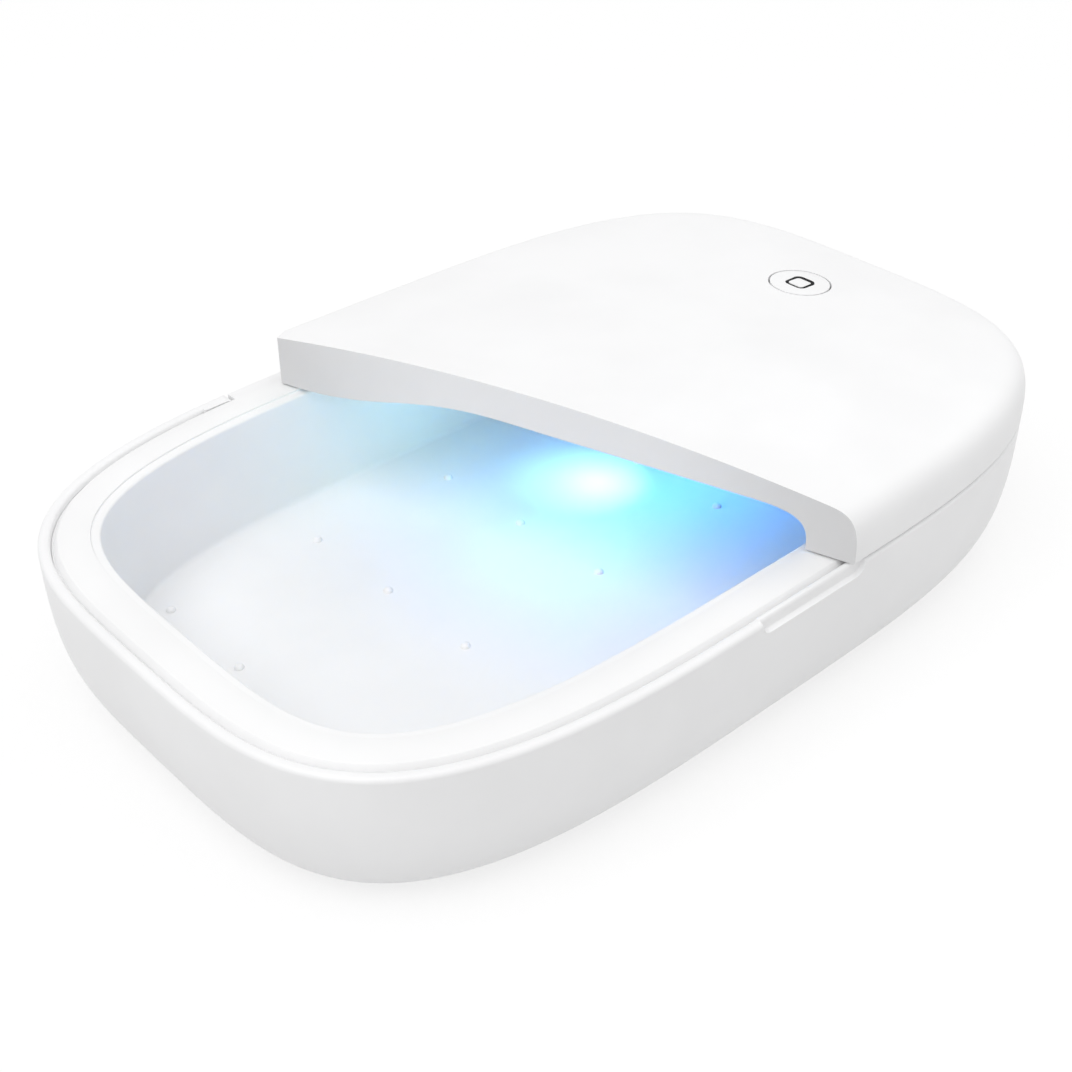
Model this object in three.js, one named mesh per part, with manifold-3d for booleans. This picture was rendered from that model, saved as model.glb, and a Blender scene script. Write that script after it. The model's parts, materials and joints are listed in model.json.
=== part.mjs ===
// A sanitizer box: a deep oblong tub with a drop-in tray, a domed lid hinged along its
// rear long side, three emitters under the lid and a round push button in its top. The lid is
// sectioned by an upright plane that crosses the box aslant, as a display model is, so that the
// chamber shows. Millimetres, Z up. X runs along the box with the button at the +X end, the
// thumb notch is on the -Y side, the hinge on the +Y side, and the origin is under the middle
// of the feet.
import * as THREE from 'three';
import { mergeVertices } from 'three/addons/utils/BufferGeometryUtils.js';
import Module from 'manifold-3d';

const wasm = await Module();
wasm.setup();

// Plan outline of the box, a superellipse
const halfLength = 99;
const halfWidth = 65.1;
const outlinePower = 3.6;
const outlineSteps = 64;

// Tub
const footStand = 1;
const tubFlare = 13.8;
const tubPower = 3.1;
const tubWall = 2.3;
const tubFloor = 2.4;
const rimRound = 0.9;
const tubHeightShares = [1, 0.985, 0.95, 0.89, 0.8, 0.68, 0.52, 0.34, 0.15];
const tubInnerShares = [0.9, 0.82, 0.7, 0.52, 0.3];
const tubInnerFoot = 3;

// Thumb notch in the front rim
const notchWidth = 27.8;
const notchCentre = 1.2;
const notchDepth = 2.7;
const notchSetback = 1;
const notchRound = 2.2;

// Tray with its lip, walls and floor
const lipGap = 0.5;
const lipEdgeRound = 0.7;
const lipWidth = 6.1;
const lipInnerRound = 1.9;
const lipInnerShares = [0, 0.33, 0.67, 1];
const lipThickness = 2;
const skirtDepth = 5;
const skirtWall = 1.5;
const chamberDepth = 24;
const underTrayRoom = 2.55;
const chamberDraft = 2.6;
const chamberFillet = 1.2;
const trayWall = 1.6;
const nubRadius = 1;
const nubHeight = 0.9;
const nubInsetX = 27.5;
const nubInsetY = 29.1;
const nubColumns = 5;
const nubRows = 4;

// Lid
const seamGap = 0.5;
const seamRound = 0.4;
const lidRise = 10.4;
const lidCrown = 5;
const lidFlare = 6.8;
const lidPower = 3.6;
const lidWall = 2.2;
const lidHeightShares = [0.16, 0.36, 0.56, 0.72, 0.84, 0.92, 0.97, 1];
const lidInnerShares = [0.2, 0.5, 0.74, 0.9, 1];
const crownShares = [0.75, 0.5, 0.25];

// Liner under the lid
const linerWall = 1.2;
const linerFlange = 1.8;
const linerEdge = 9.2;
const cavityHeight = 7.8;
const cavityRamp = 12;
const cavityPower = 3.5;
const cavityRearShare = 0.6;
const cavityRearPower = 0.5;
const cavityCrestShare = 0.35;
const cavityShares = [0, 0.04, 0.14, 0.35, 0.62, 0.82, 0.93, 0.98, 1];

// Section through the lid
const sectionMiddle = -7.95;
const sectionAngle = 16.9;
const sectionCoverThickness = 1.2;
const sectionLedge = 0.6;
const sectionReturnInset = 5.9;
const sectionReturnAngle = -55;

// Hinge
const hingeWidth = 73;
const hingeRadius = 2;
const hingeDrop = 3;
const hingePostWidth = 7.5;
const hingeShelf = 2.4;
const hingePinRadius = 0.9;
const hingePinReach = 5;
const hingeRecessRound = 0.3;
const hingeCornerRound = 2;

// Emitters and their board
const emitterSide = 3.5;
const emitterHeight = 1;
const emitterWindowSide = 2.5;
const emitterWindowRise = 0.25;
const pocketMouth = 6.8;
const pocketThroat = 4.6;
const ledBoardMargin = 6.9;
const ledBoardSetback = 0.75;
const ledBoardWidth = 11;
const ledBoardThickness = 1;

// Button
const buttonInset = 26.5;
const buttonRadius = 6.7;
const buttonWall = 0.7;
const buttonFlange = 1;
const buttonFlangeThickness = 0.5;
const buttonFlangeGap = 0.75;
const buttonSlotWidth = 5;
const iconSide = 5.4;
const iconRound = 1.5;
const iconStroke = 0.75;
const iconDepth = 0.35;
const iconFit = 0.1;
const switchSide = 4.5;
const switchRoom = 0.48;
const plungerRadius = 1;
const plungerFit = 0.03;
const plungerSink = 0.25;
const buttonBoardRadius = 5.6;
const buttonBoardThickness = 0.8;

// Feet, screws and their bosses
const footRadius = 6;
const footThickness = 1.6;
const footBevel = 0.4;
const footInsetX = 37;
const footInsetY = 34.1;
const screwHeadRadius = 1.9;
const screwHeadHeight = 1;
const screwRadius = 1;
const caseScrewLength = 3.6;
const linerScrewLength = 4.5;
const bossRadius = 2.3;
const slotWidth = 0.7;
const slotDepth = 0.5;
const linerScrewInset = 5.3;
const linerScrewSideX = 38;
const linerScrewEndY = 22;

// Electronics in the tub
const boardThickness = 1.2;
const mainBoardLength = 92;
const mainBoardInset = 8;
const mainBoardLift = 3.6;
const mainBoardRoom = 2.85;
const guideSide = 3.4;
const guideHalfDepth = 1.9;
const guideBite = 1.5;
const inletWidth = 8.9;
const inletHeight = 3.3;
const inletRound = 1.5;
const inletRise = 11.5;
const inletWall = 0.5;
const inletTongueHeight = 0.7;
const inletMouthDepth = 5;
const chipSide = 7;
const chipHeight = 1;
const chipInset = 20;
const chipRise = 12.5;
const coilRadius = 2.8;
const coilHeight = 2.2;
const coilInset = 24;
const headerLength = 8;
const headerHeight = 4;
const headerDepth = 2.6;
const headerInset = 10;
const sensorX = 24;
const sensorInset = 7.2;
const sensorBoardWidth = 10;
const sensorBoardHeight = 9;
const sensorBoardDrop = 5.55;
const sensorSide = 3;
const sensorHeight = 1.1;
const magnetLength = 10;
const magnetWidth = 3;
const magnetHeight = 2;
const magnetInset = 5.2;
const harnessWidth = 3.6;
const harnessThickness = 0.8;

// Fits
const clearance = 0.3;
const screwFit = 0.2;
const overrun = 2;
const farReach = 2 * halfLength;

// Levels and places that follow
const tubDepth = chamberDepth + trayWall + underTrayRoom + tubFloor;
const tubBottom = footStand;
const rimZ = tubBottom + tubDepth;
const seamZ = rimZ + seamGap;
const tubInside = tubBottom + tubFloor;
const lipInset = tubWall + lipGap;
const lipTopInset = lipInset + lipEdgeRound;
const chamberInset = lipTopInset + lipWidth;
const chamberHead = chamberInset + lipInnerRound;
const chamberFoot = chamberHead + chamberDraft;
const floorZ = rimZ - chamberDepth;
const floorUnder = floorZ - trayWall;
const hingeY = halfWidth - hingeRadius;
const hingeZ = rimZ - hingeDrop;
const hingeBack = hingeY - hingeRadius - clearance;
const hingeFloor = hingeZ - hingeRadius - clearance;
const hingeHalf = hingeWidth / 2;
const footX = halfLength - footInsetX;
const footY = halfWidth - footInsetY;
const nubPitchX = (2 * (halfLength - nubInsetX)) / (nubColumns - 1);
const nubPitchY = (2 * (halfWidth - nubInsetY)) / (nubRows - 1);
const buttonX = halfLength - buttonInset;
const postEnd = hingeHalf + hingePostWidth;
const roofZ = rimZ + cavityHeight;
const linerTop = roofZ + linerWall;
const flangeTop = seamZ + linerFlange;
const ledBoardZ = linerTop + clearance;
const sectionTurn = THREE.MathUtils.degToRad(sectionAngle);
const sectionReturnTurn = THREE.MathUtils.degToRad(sectionReturnAngle);
const sectionReturnY = halfWidth - sectionReturnInset;
const sectionReturnX = sectionMiddle - Math.tan(sectionTurn) * sectionReturnY;
const sectionBack = (sectionCoverThickness + clearance) / Math.cos(sectionTurn);
const ledBoardFrom = sectionMiddle + Math.tan(sectionTurn) * ledBoardWidth / 2 + sectionBack
  + ledBoardSetback;
const ledBoardTo = buttonX - buttonRadius - buttonFlange - 3 * clearance;
const ledBoardLength = ledBoardTo - ledBoardFrom;
const emitterRowX = (ledBoardFrom + ledBoardTo) / 2;
const emitterPitch = ledBoardLength / 2 - ledBoardMargin;
const screwHeadZ = footThickness + clearance;
const screwHeadTop = screwHeadZ + screwHeadHeight;
const mainBoardY = halfWidth - mainBoardInset - boardThickness / 2;
const mainBoardBottom = tubInside + mainBoardLift;
const mainBoardTop = hingeFloor - hingeShelf - mainBoardRoom;
const mainBoardHeight = mainBoardTop - mainBoardBottom;
const chipX = chipInset - mainBoardLength / 2;
const coilX = mainBoardLength / 2 - coilInset;
const headerX = mainBoardLength / 2 - headerInset;
const guideX = mainBoardLength / 2 + clearance + guideSide / 2 - guideBite;
const sensorY = sensorInset - halfWidth;
const sensorBoardTop = rimZ - sensorBoardDrop;
const sensorBoardBottom = sensorBoardTop - sensorBoardHeight;
const sensorGuideX = sensorBoardWidth / 2 + clearance + guideSide / 2 - guideBite;

// Materials
function finish(color, roughness, metalness) {
  return new THREE.MeshStandardMaterial({ color, roughness, metalness });
}
const whiteShell = () => finish(0xf1f1f2, 0.32, 0);
const whiteTray = () => finish(0xececee, 0.4, 0);
const greySection = () => finish(0xc9c9ca, 0.6, 0);
const darkRubber = () => finish(0x3a3b3d, 0.85, 0);
const brightSteel = () => finish(0xb9bbbe, 0.3, 1);
const greenBoard = () => finish(0x2c6b45, 0.5, 0);
const whiteBoard = () => finish(0xe6e6e1, 0.5, 0);
const blackPlastic = () => finish(0x17181a, 0.5, 0);
const amberCeramic = () => finish(0xb8772a, 0.35, 0.4);
const silverCeramic = () => finish(0x9a9a9e, 0.35, 0.5);
const ribbonPlastic = () => finish(0xd9d9d2, 0.5, 0);

// Solids

// Turns a closed geometry into a solid that can be joined and cut
function solid(geometry) {
  const bare = geometry.index ? geometry.toNonIndexed() : geometry.clone();
  bare.deleteAttribute('normal');
  bare.deleteAttribute('uv');
  const merged = mergeVertices(bare);
  return new wasm.Manifold(new wasm.Mesh({
    numProp: 3,
    vertProperties: new Float32Array(merged.attributes.position.array),
    triVerts: new Uint32Array(merged.index.array),
  }));
}

// Turns a solid back into a geometry with flat faces
function geometryOf(body) {
  const mesh = body.getMesh();
  const geometry = new THREE.BufferGeometry();
  geometry.setAttribute('position', new THREE.BufferAttribute(mesh.vertProperties, mesh.numProp));
  geometry.setIndex(new THREE.BufferAttribute(mesh.triVerts, 1));
  return geometry;
}

function block(fromX, toX, fromY, toY, fromZ, toZ) {
  const shape = new THREE.BoxGeometry(toX - fromX, toY - fromY, toZ - fromZ);
  shape.translate((fromX + toX) / 2, (fromY + toY) / 2, (fromZ + toZ) / 2);
  return solid(shape);
}

function uprightRod(radius, x, y, fromZ, toZ, sides = 20) {
  const rod = new THREE.CylinderGeometry(radius, radius, toZ - fromZ, sides);
  rod.rotateX(Math.PI / 2);
  rod.translate(x, y, (fromZ + toZ) / 2);
  return solid(rod);
}

function lengthwiseRod(radius, fromX, toX, y, z, sides = 20) {
  const rod = new THREE.CylinderGeometry(radius, radius, toX - fromX, sides);
  rod.rotateZ(Math.PI / 2);
  rod.translate((fromX + toX) / 2, y, z);
  return solid(rod);
}

// A rectangle with round corners
function roundedRectangle(width, height, radius) {
  const shape = new THREE.Shape();
  const right = width / 2;
  const top = height / 2;
  shape.moveTo(radius - right, -top);
  shape.lineTo(right - radius, -top);
  shape.absarc(right - radius, radius - top, radius, -Math.PI / 2, 0);
  shape.lineTo(right, top - radius);
  shape.absarc(right - radius, top - radius, radius, 0, Math.PI / 2);
  shape.lineTo(radius - right, top);
  shape.absarc(radius - right, top - radius, radius, Math.PI / 2, Math.PI);
  shape.lineTo(-right, radius - top);
  shape.absarc(radius - right, radius - top, radius, Math.PI, Math.PI * 1.5);
  return shape;
}

// A round-cornered opening through a wall, with its section in X and Z, run along Y
function wallOpening(width, height, radius, x, z, fromY, toY, curveSegments = 4) {
  const depth = toY - fromY;
  const run = new THREE.ExtrudeGeometry(roundedRectangle(width, height, radius), {
    depth, bevelEnabled: false, curveSegments,
  });
  run.rotateX(Math.PI / 2);
  run.translate(x, toY, z);
  return solid(run);
}

// Points of the plan outline, moved inward by an inset
function outline(inset, rearShare = 0) {
  const points = [];
  for (let step = 0; step < outlineSteps; step += 1) {
    const turn = (step / outlineSteps) * Math.PI * 2;
    const along = Math.cos(turn);
    const across = Math.sin(turn);
    const x = halfLength * Math.sign(along) * Math.abs(along) ** (2 / outlinePower);
    const y = halfWidth * Math.sign(across) * Math.abs(across) ** (2 / outlinePower);
    const slopeX = Math.sign(x) * Math.abs(x / halfLength) ** (outlinePower - 1) / halfLength;
    const slopeY = Math.sign(y) * Math.abs(y / halfWidth) ** (outlinePower - 1) / halfWidth;
    const steepness = Math.hypot(slopeX, slopeY);
    const movedY = y - (inset * slopeY) / steepness;
    points.push([x - (inset * slopeX) / steepness, movedY > 0 ? movedY * (1 - rearShare) : movedY]);
  }
  return points;
}

function ring(inset, z, rearShare = 0) {
  return outline(inset, rearShare).map(([x, y]) => [x, y, z]);
}

function shrunkRing(inset, share, z) {
  return outline(inset).map(([x, y]) => [x * share, y * share, z]);
}

// A closed solid through rings of points, listed from the lowest to the highest
function loft(rings, peakZ) {
  const positions = rings.flat(2);
  const faces = [];
  const last = rings.length - 1;
  for (let level = 0; level < last; level += 1) {
    for (let step = 0; step < outlineSteps; step += 1) {
      const next = (step + 1) % outlineSteps;
      const low = level * outlineSteps;
      const high = low + outlineSteps;
      faces.push(low + step, low + next, high + next);
      faces.push(low + step, high + next, high + step);
    }
  }
  const lowMiddle = positions.length / 3;
  positions.push(0, 0, rings[0][0][2]);
  positions.push(0, 0, peakZ === undefined ? rings[last][0][2] : peakZ);
  for (let step = 0; step < outlineSteps; step += 1) {
    const next = (step + 1) % outlineSteps;
    faces.push(lowMiddle, next, step);
    faces.push(lowMiddle + 1, last * outlineSteps + step, last * outlineSteps + next);
  }
  return new wasm.Manifold(new wasm.Mesh({
    numProp: 3,
    vertProperties: new Float32Array(positions),
    triVerts: new Uint32Array(faces),
  }));
}

// How far a rounded side has drawn in at a share of its height
function drawnIn(share, flare, power) {
  return flare * (1 - (1 - share ** power) ** (1 / power));
}

// Height that the crown adds at a distance from the outline
function crownRise(inset) {
  return lidCrown * (1 - (1 - inset / halfWidth) ** 2);
}

// The distance from the outline that the shrunk rings of the crown stand for
function crownInset(share) {
  return lidFlare + (1 - share) * (halfWidth - lidFlare);
}

// Height of the lid's outer face above the rim, on the long middle line of the box
function lidHeightAt(x) {
  const share = Math.abs(x) / (halfLength - lidFlare);
  return lidRise + crownRise(crownInset(share));
}

// Everything past an upright plane through a point, moved into the lid by a setback
function beyondPlane(x, y, turn, setback, fromZ) {
  const gone = new THREE.BoxGeometry(farReach, 2 * farReach, farReach);
  gone.translate(setback - farReach / 2, 0, farReach / 2);
  gone.rotateZ(turn);
  gone.translate(x, y, fromZ);
  return solid(gone);
}

// Everything that the section takes away: the aslant cut and its short return at the rear
function beyondSection(setback, fromZ) {
  return beyondPlane(sectionMiddle, 0, sectionTurn, setback, fromZ)
    .add(beyondPlane(sectionReturnX, sectionReturnY, sectionReturnTurn, setback, fromZ));
}

// The tub: a hull with a flat bottom, its walls drawn in downwards
function tubHull() {
  const rings = tubHeightShares.map((share) => (
    ring(drawnIn(share, tubFlare, tubPower), rimZ - tubDepth * share)));
  rings.push(ring(0, rimZ - rimRound));
  rings.push(ring(rimRound * (1 - Math.SQRT1_2), rimZ - rimRound * (1 - Math.SQRT1_2)));
  rings.push(ring(rimRound, rimZ));
  return loft(rings);
}

function tubHollow() {
  const lowestShare = (rimZ - tubInside) / tubDepth;
  const footInset = drawnIn(lowestShare, tubFlare, tubPower) + tubWall;
  const rings = [ring(footInset + tubInnerFoot, tubInside)];
  for (const share of tubInnerShares) {
    rings.push(ring(drawnIn(share, tubFlare, tubPower) + tubWall, rimZ - tubDepth * share));
  }
  rings.push(ring(tubWall, rimZ - lipThickness));
  rings.push(ring(tubWall, rimZ + overrun));
  return loft(rings);
}

// An upright slotted post that holds one end of a board standing in a wall cavity
function boardGuide(x, y, fromZ, toZ, inward) {
  const post = block(x - guideSide / 2, x + guideSide / 2, y - guideHalfDepth, y + guideHalfDepth,
    fromZ, toZ);
  const slotFrom = inward > 0 ? x + guideSide / 2 - guideBite : x - guideSide / 2 - overrun;
  const slotTo = inward > 0 ? x + guideSide / 2 + overrun : x - guideSide / 2 + guideBite;
  const halfSlot = boardThickness / 2 + clearance;
  return post.subtract(block(slotFrom, slotTo, y - halfSlot, y + halfSlot, fromZ, toZ + overrun));
}

function baseShell() {
  const hull = tubHull();
  let shell = hull.subtract(tubHollow());

  const hingeBlock = block(-postEnd, postEnd, hingeBack + clearance, farReach,
    hingeFloor - hingeShelf, rimZ);
  const guides = [
    boardGuide(-guideX, mainBoardY, tubBottom, mainBoardTop, 1),
    boardGuide(guideX, mainBoardY, tubBottom, mainBoardTop, -1),
    boardGuide(sensorX - sensorGuideX, sensorY, tubBottom, sensorBoardTop, 1),
    boardGuide(sensorX + sensorGuideX, sensorY, tubBottom, sensorBoardTop, -1),
    block(sensorX - sensorGuideX, sensorX + sensorGuideX, sensorY - guideHalfDepth,
      sensorY + guideHalfDepth, tubBottom, sensorBoardBottom - clearance),
  ];
  for (const added of [hingeBlock, ...guides]) {
    shell = shell.add(added.intersect(hull));
  }

  const notchHeight = notchDepth + notchRound + overrun;
  const notch = wallOpening(notchWidth, notchHeight, notchRound, notchCentre,
    rimZ - notchDepth + notchHeight / 2, -farReach, 0);
  const notchCore = loft([ring(notchSetback, tubBottom), ring(notchSetback, rimZ + farReach)]);
  const recessHeight = rimZ - hingeFloor + hingeRecessRound + overrun;
  const recess = wallOpening(hingeWidth, recessHeight, hingeRecessRound, 0,
    hingeFloor + recessHeight / 2, hingeBack, farReach);
  const inlet = wallOpening(inletWidth + 2 * clearance, inletHeight + 2 * clearance,
    inletRound + clearance, 0, inletRise, mainBoardY + boardThickness, farReach);
  const cuts = [notch.subtract(notchCore), recess, inlet];
  for (const side of [-1, 1]) {
    const middle = side * (hingeHalf + hingeCornerRound);
    const corner = block(Math.min(side * hingeHalf, middle), Math.max(side * hingeHalf, middle),
      hingeBack, farReach, rimZ - hingeCornerRound, rimZ + overrun);
    cuts.push(corner.subtract(wallOpening(2 * hingeCornerRound, 2 * hingeCornerRound, hingeCornerRound,
      middle, rimZ - hingeCornerRound, 0, 2 * farReach)));
    const inner = side * hingeHalf;
    const outer = side * (hingeHalf + hingePinReach + clearance);
    cuts.push(lengthwiseRod(hingePinRadius + screwFit, Math.min(inner - side * overrun, outer),
      Math.max(inner - side * overrun, outer), hingeY, hingeZ, 12));
  }
  for (const [x, y] of footPlaces()) {
    cuts.push(uprightRod(footRadius + clearance, x, y, tubBottom - overrun, screwHeadZ, 20));
    cuts.push(uprightRod(screwHeadRadius + clearance, x, y, tubBottom, screwHeadTop, 16));
    cuts.push(uprightRod(screwRadius + clearance, x, y, tubBottom, tubInside + overrun, 12));
  }
  for (const cut of cuts) {
    shell = shell.subtract(cut);
  }
  return shell;
}

// Places of the feet, each with a screw above it
function footPlaces() {
  return [[-footX, -footY], [footX, -footY], [-footX, footY], [footX, footY]];
}

function foot() {
  return new THREE.LatheGeometry([
    new THREE.Vector2(0, 0),
    new THREE.Vector2(footRadius - footBevel, 0),
    new THREE.Vector2(footRadius, footBevel),
    new THREE.Vector2(footRadius, footThickness),
    new THREE.Vector2(0, footThickness),
  ], 20).rotateX(Math.PI / 2);
}

// A screw that points up, with its head's slotted face at the bottom
function screw(length) {
  const tip = screwRadius / 2;
  const profile = [
    new THREE.Vector2(0, 0),
    new THREE.Vector2(screwHeadRadius, 0),
    new THREE.Vector2(screwHeadRadius, screwHeadHeight),
    new THREE.Vector2(screwRadius, screwHeadHeight),
    new THREE.Vector2(screwRadius, screwHeadHeight + length - tip),
    new THREE.Vector2(tip, screwHeadHeight + length),
    new THREE.Vector2(0, screwHeadHeight + length),
  ];
  const body = solid(new THREE.LatheGeometry(profile, 10).rotateX(Math.PI / 2));
  const arm = screwHeadRadius - slotWidth;
  const half = slotWidth / 2;
  const cross = block(-arm, arm, -half, half, -overrun, slotDepth)
    .add(block(-half, half, -arm, arm, -overrun, slotDepth));
  return geometryOf(body.subtract(cross));
}

// The tray: a lip that rounds over at both edges, drafted walls and a floor with small nubs
function chamberSpace() {
  const soften = 1 - Math.SQRT1_2;
  const rings = [
    ring(chamberFoot + chamberFillet, floorZ),
    ring(chamberFoot + chamberFillet * soften, floorZ + chamberFillet * soften),
    ring(chamberFoot, floorZ + chamberFillet),
  ];
  for (const share of lipInnerShares) {
    const turn = (share * Math.PI) / 2;
    const inset = chamberInset + lipInnerRound * Math.cos(turn);
    rings.push(ring(inset, rimZ - lipInnerRound * (1 - Math.sin(turn))));
  }
  rings.push(ring(chamberInset, rimZ + overrun));
  return loft(rings);
}

function nub(x, y) {
  const dome = new THREE.LatheGeometry([
    new THREE.Vector2(0, -trayWall / 2),
    new THREE.Vector2(nubRadius, -trayWall / 2),
    new THREE.Vector2(nubRadius, 0),
    new THREE.Vector2(nubRadius * Math.SQRT1_2, nubHeight * Math.SQRT1_2),
    new THREE.Vector2(0, nubHeight),
  ], 8);
  dome.rotateX(Math.PI / 2);
  dome.translate(x, y, floorZ);
  return solid(dome);
}

function chamberTray() {
  const cup = loft([
    ring(chamberFoot + chamberFillet - trayWall / 2, floorUnder),
    ring(chamberFoot - trayWall, floorZ + chamberFillet / 2),
    ring(chamberHead - trayWall, rimZ - lipInnerRound),
    ring(chamberHead - trayWall, rimZ - lipThickness / 2),
  ]);
  const soften = lipEdgeRound * (1 - Math.SQRT1_2);
  const lip = loft([
    ring(lipInset, rimZ - skirtDepth),
    ring(lipInset, rimZ - lipEdgeRound),
    ring(lipInset + soften, rimZ - soften),
    ring(lipTopInset, rimZ),
  ]);
  const underLip = loft([
    ring(lipInset + skirtWall, rimZ - skirtDepth - overrun),
    ring(lipInset + skirtWall, rimZ - lipThickness),
  ]);
  const hingeNotch = block(-postEnd - clearance, postEnd + clearance, hingeBack, farReach,
    rimZ - skirtDepth - overrun, rimZ + overrun);
  const hingeSkirt = block(-postEnd - clearance, postEnd + clearance, hingeBack - skirtWall, hingeBack,
    hingeFloor - hingeShelf, rimZ - lipThickness / 2);
  let tray = lip.subtract(underLip).add(cup).add(hingeSkirt).subtract(hingeNotch);
  for (const [x, y] of footPlaces()) {
    tray = tray.add(uprightRod(bossRadius, x, y, tubInside + clearance, floorUnder + trayWall / 2, 16));
  }
  tray = tray.subtract(chamberSpace());
  for (let column = 0; column < nubColumns; column += 1) {
    for (let row = 0; row < nubRows; row += 1) {
      const x = (column - (nubColumns - 1) / 2) * nubPitchX;
      const y = (row - (nubRows - 1) / 2) * nubPitchY;
      tray = tray.add(nub(x, y));
    }
  }
  for (const [x, y] of footPlaces()) {
    tray = tray.subtract(uprightRod(screwRadius + screwFit, x, y, tubBottom,
      screwHeadTop + caseScrewLength + clearance, 12));
  }
  return tray;
}

// The lid's outer form, with its lower edge just above the rim
function lidDome() {
  const rings = [
    ring(seamRound, seamZ),
    ring(0, seamZ + seamRound),
  ];
  for (const share of lidHeightShares) {
    const inset = drawnIn(share, lidFlare, lidPower);
    rings.push(ring(inset, rimZ + lidRise * share + crownRise(inset)));
  }
  for (const share of crownShares) {
    rings.push(shrunkRing(lidFlare, share, rimZ + lidRise + crownRise(crownInset(share))));
  }
  return loft(rings, rimZ + lidRise + lidCrown);
}

function lidHollow() {
  const rings = [ring(lidWall, seamZ - overrun)];
  for (const share of lidInnerShares) {
    const inset = drawnIn(share, lidFlare, lidPower);
    rings.push(ring(inset + lidWall, rimZ + lidRise * share + crownRise(inset) - lidWall));
  }
  for (const share of crownShares) {
    rings.push(shrunkRing(lidFlare, share, rimZ + lidRise + crownRise(crownInset(share)) - lidWall));
  }
  return loft(rings, rimZ + lidRise + lidCrown - lidWall);
}

// The space under the liner, its ramp longer on the hinge side, grown by a wall where asked
function cavity(grow, fromZ) {
  const rings = [ring(linerEdge - grow, fromZ)];
  for (const share of cavityShares) {
    const inset = linerEdge + drawnIn(share, cavityRamp, cavityPower);
    rings.push(ring(inset - grow, seamZ + (cavityHeight - seamGap) * share + grow,
      cavityRearShare * share ** cavityRearPower + drawnIn(share, cavityCrestShare, cavityPower)));
  }
  return loft(rings);
}

// The hinge barrel and the neck that carries it under the lid's rear edge
function hingeTongue() {
  const half = hingeHalf - clearance;
  const neck = block(-half, half, hingeY - hingeRadius, farReach, hingeZ, seamZ + lidWall)
    .intersect(loft([ring(0, tubBottom), ring(0, seamZ + seamRound), ring(seamRound, rimZ + lidRise)]));
  let tongue = neck.add(lengthwiseRod(hingeRadius, -half, half, hingeY, hingeZ, 24));
  for (const side of [-1, 1]) {
    const inner = side * (hingeHalf - hingePinReach - clearance);
    const outer = side * (hingeHalf + overrun);
    tongue = tongue.subtract(lengthwiseRod(hingePinRadius + clearance, Math.min(inner, outer),
      Math.max(inner, outer), hingeY, hingeZ, 12));
  }
  return tongue;
}

// Places of the screws that hold the liner up
function linerScrewPlaces() {
  const sideY = halfWidth - linerScrewInset - clearance;
  const endX = halfLength - linerScrewInset - clearance;
  return [[linerScrewSideX, -sideY], [linerScrewSideX, sideY],
    [endX, -linerScrewEndY], [endX, linerScrewEndY]];
}

function lidShell() {
  const dome = lidDome();
  let shell = dome.subtract(lidHollow());
  for (const [x, y] of linerScrewPlaces()) {
    const boss = uprightRod(bossRadius, x, y, flangeTop + clearance, rimZ + lidRise, 16).intersect(dome);
    shell = shell.add(boss).subtract(uprightRod(screwRadius + screwFit, x, y, seamZ,
      seamZ + screwHeadHeight + linerScrewLength + clearance, 12));
  }
  shell = shell.add(hingeTongue());
  shell = shell.subtract(uprightRod(buttonRadius + clearance, buttonX, 0, flangeTop, rimZ + farReach, 40));
  return shell.subtract(beyondSection(sectionCoverThickness + clearance, rimZ - sectionLedge));
}

function emitterPlaces() {
  return [-emitterPitch, 0, emitterPitch].map((x) => [emitterRowX + x, 0]);
}

function lidLiner() {
  const flange = loft([ring(lidWall + clearance, seamZ), ring(lidWall + clearance, flangeTop)]);
  let liner = flange.add(cavity(linerWall, seamZ)).subtract(cavity(0, seamZ - overrun));
  const neckRoom = block(-hingeHalf, hingeHalf, hingeY - hingeRadius - clearance, farReach,
    seamZ - overrun, flangeTop + overrun);
  liner = liner.subtract(neckRoom);
  for (const [x, y] of linerScrewPlaces()) {
    liner = liner.subtract(uprightRod(screwRadius + screwFit, x, y, seamZ - overrun,
      flangeTop + overrun, 12));
    liner = liner.subtract(uprightRod(screwHeadRadius + clearance, x, y, seamZ - overrun,
      seamZ + screwHeadHeight + screwFit, 16));
  }
  for (const [x, y] of emitterPlaces()) {
    const taper = (pocketMouth - pocketThroat) / 2 / linerWall;
    const reach = overrun / 2;
    const low = (pocketMouth / 2 + taper * reach) * Math.SQRT2;
    const high = (pocketThroat / 2 - taper * reach) * Math.SQRT2;
    const pocket = new THREE.CylinderGeometry(high, low, linerWall + 2 * reach, 4);
    pocket.rotateY(Math.PI / 4).rotateX(Math.PI / 2).translate(x, y, roofZ + linerWall / 2);
    liner = liner.subtract(solid(pocket));
  }
  return liner.subtract(beyondSection(sectionCoverThickness + clearance, seamZ - overrun));
}

// The plain grey face that closes the cut through the lid's two walls
function sectionCover() {
  const filled = lidDome().subtract(cavity(0, seamZ - overrun));
  const slab = beyondSection(sectionCoverThickness, seamZ - overrun)
    .subtract(beyondSection(0, seamZ - overrun));
  return filled.intersect(slab);
}

// Emitter package with a raised square window on its lower face
function emitter() {
  const body = block(-emitterSide / 2, emitterSide / 2, -emitterSide / 2, emitterSide / 2,
    emitterWindowRise, emitterHeight);
  const window = block(-emitterWindowSide / 2, emitterWindowSide / 2, -emitterWindowSide / 2,
    emitterWindowSide / 2, 0, emitterHeight / 2);
  return geometryOf(body.add(window));
}

// The button: a shallow cup that slides in the lid, with a flange that keeps it in
const buttonTop = rimZ + lidHeightAt(buttonX);
const buttonSkirtBottom = buttonTop - lidWall - buttonFlangeGap - buttonFlangeThickness;
const buttonPlate = buttonTop - buttonWall - iconDepth;

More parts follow.
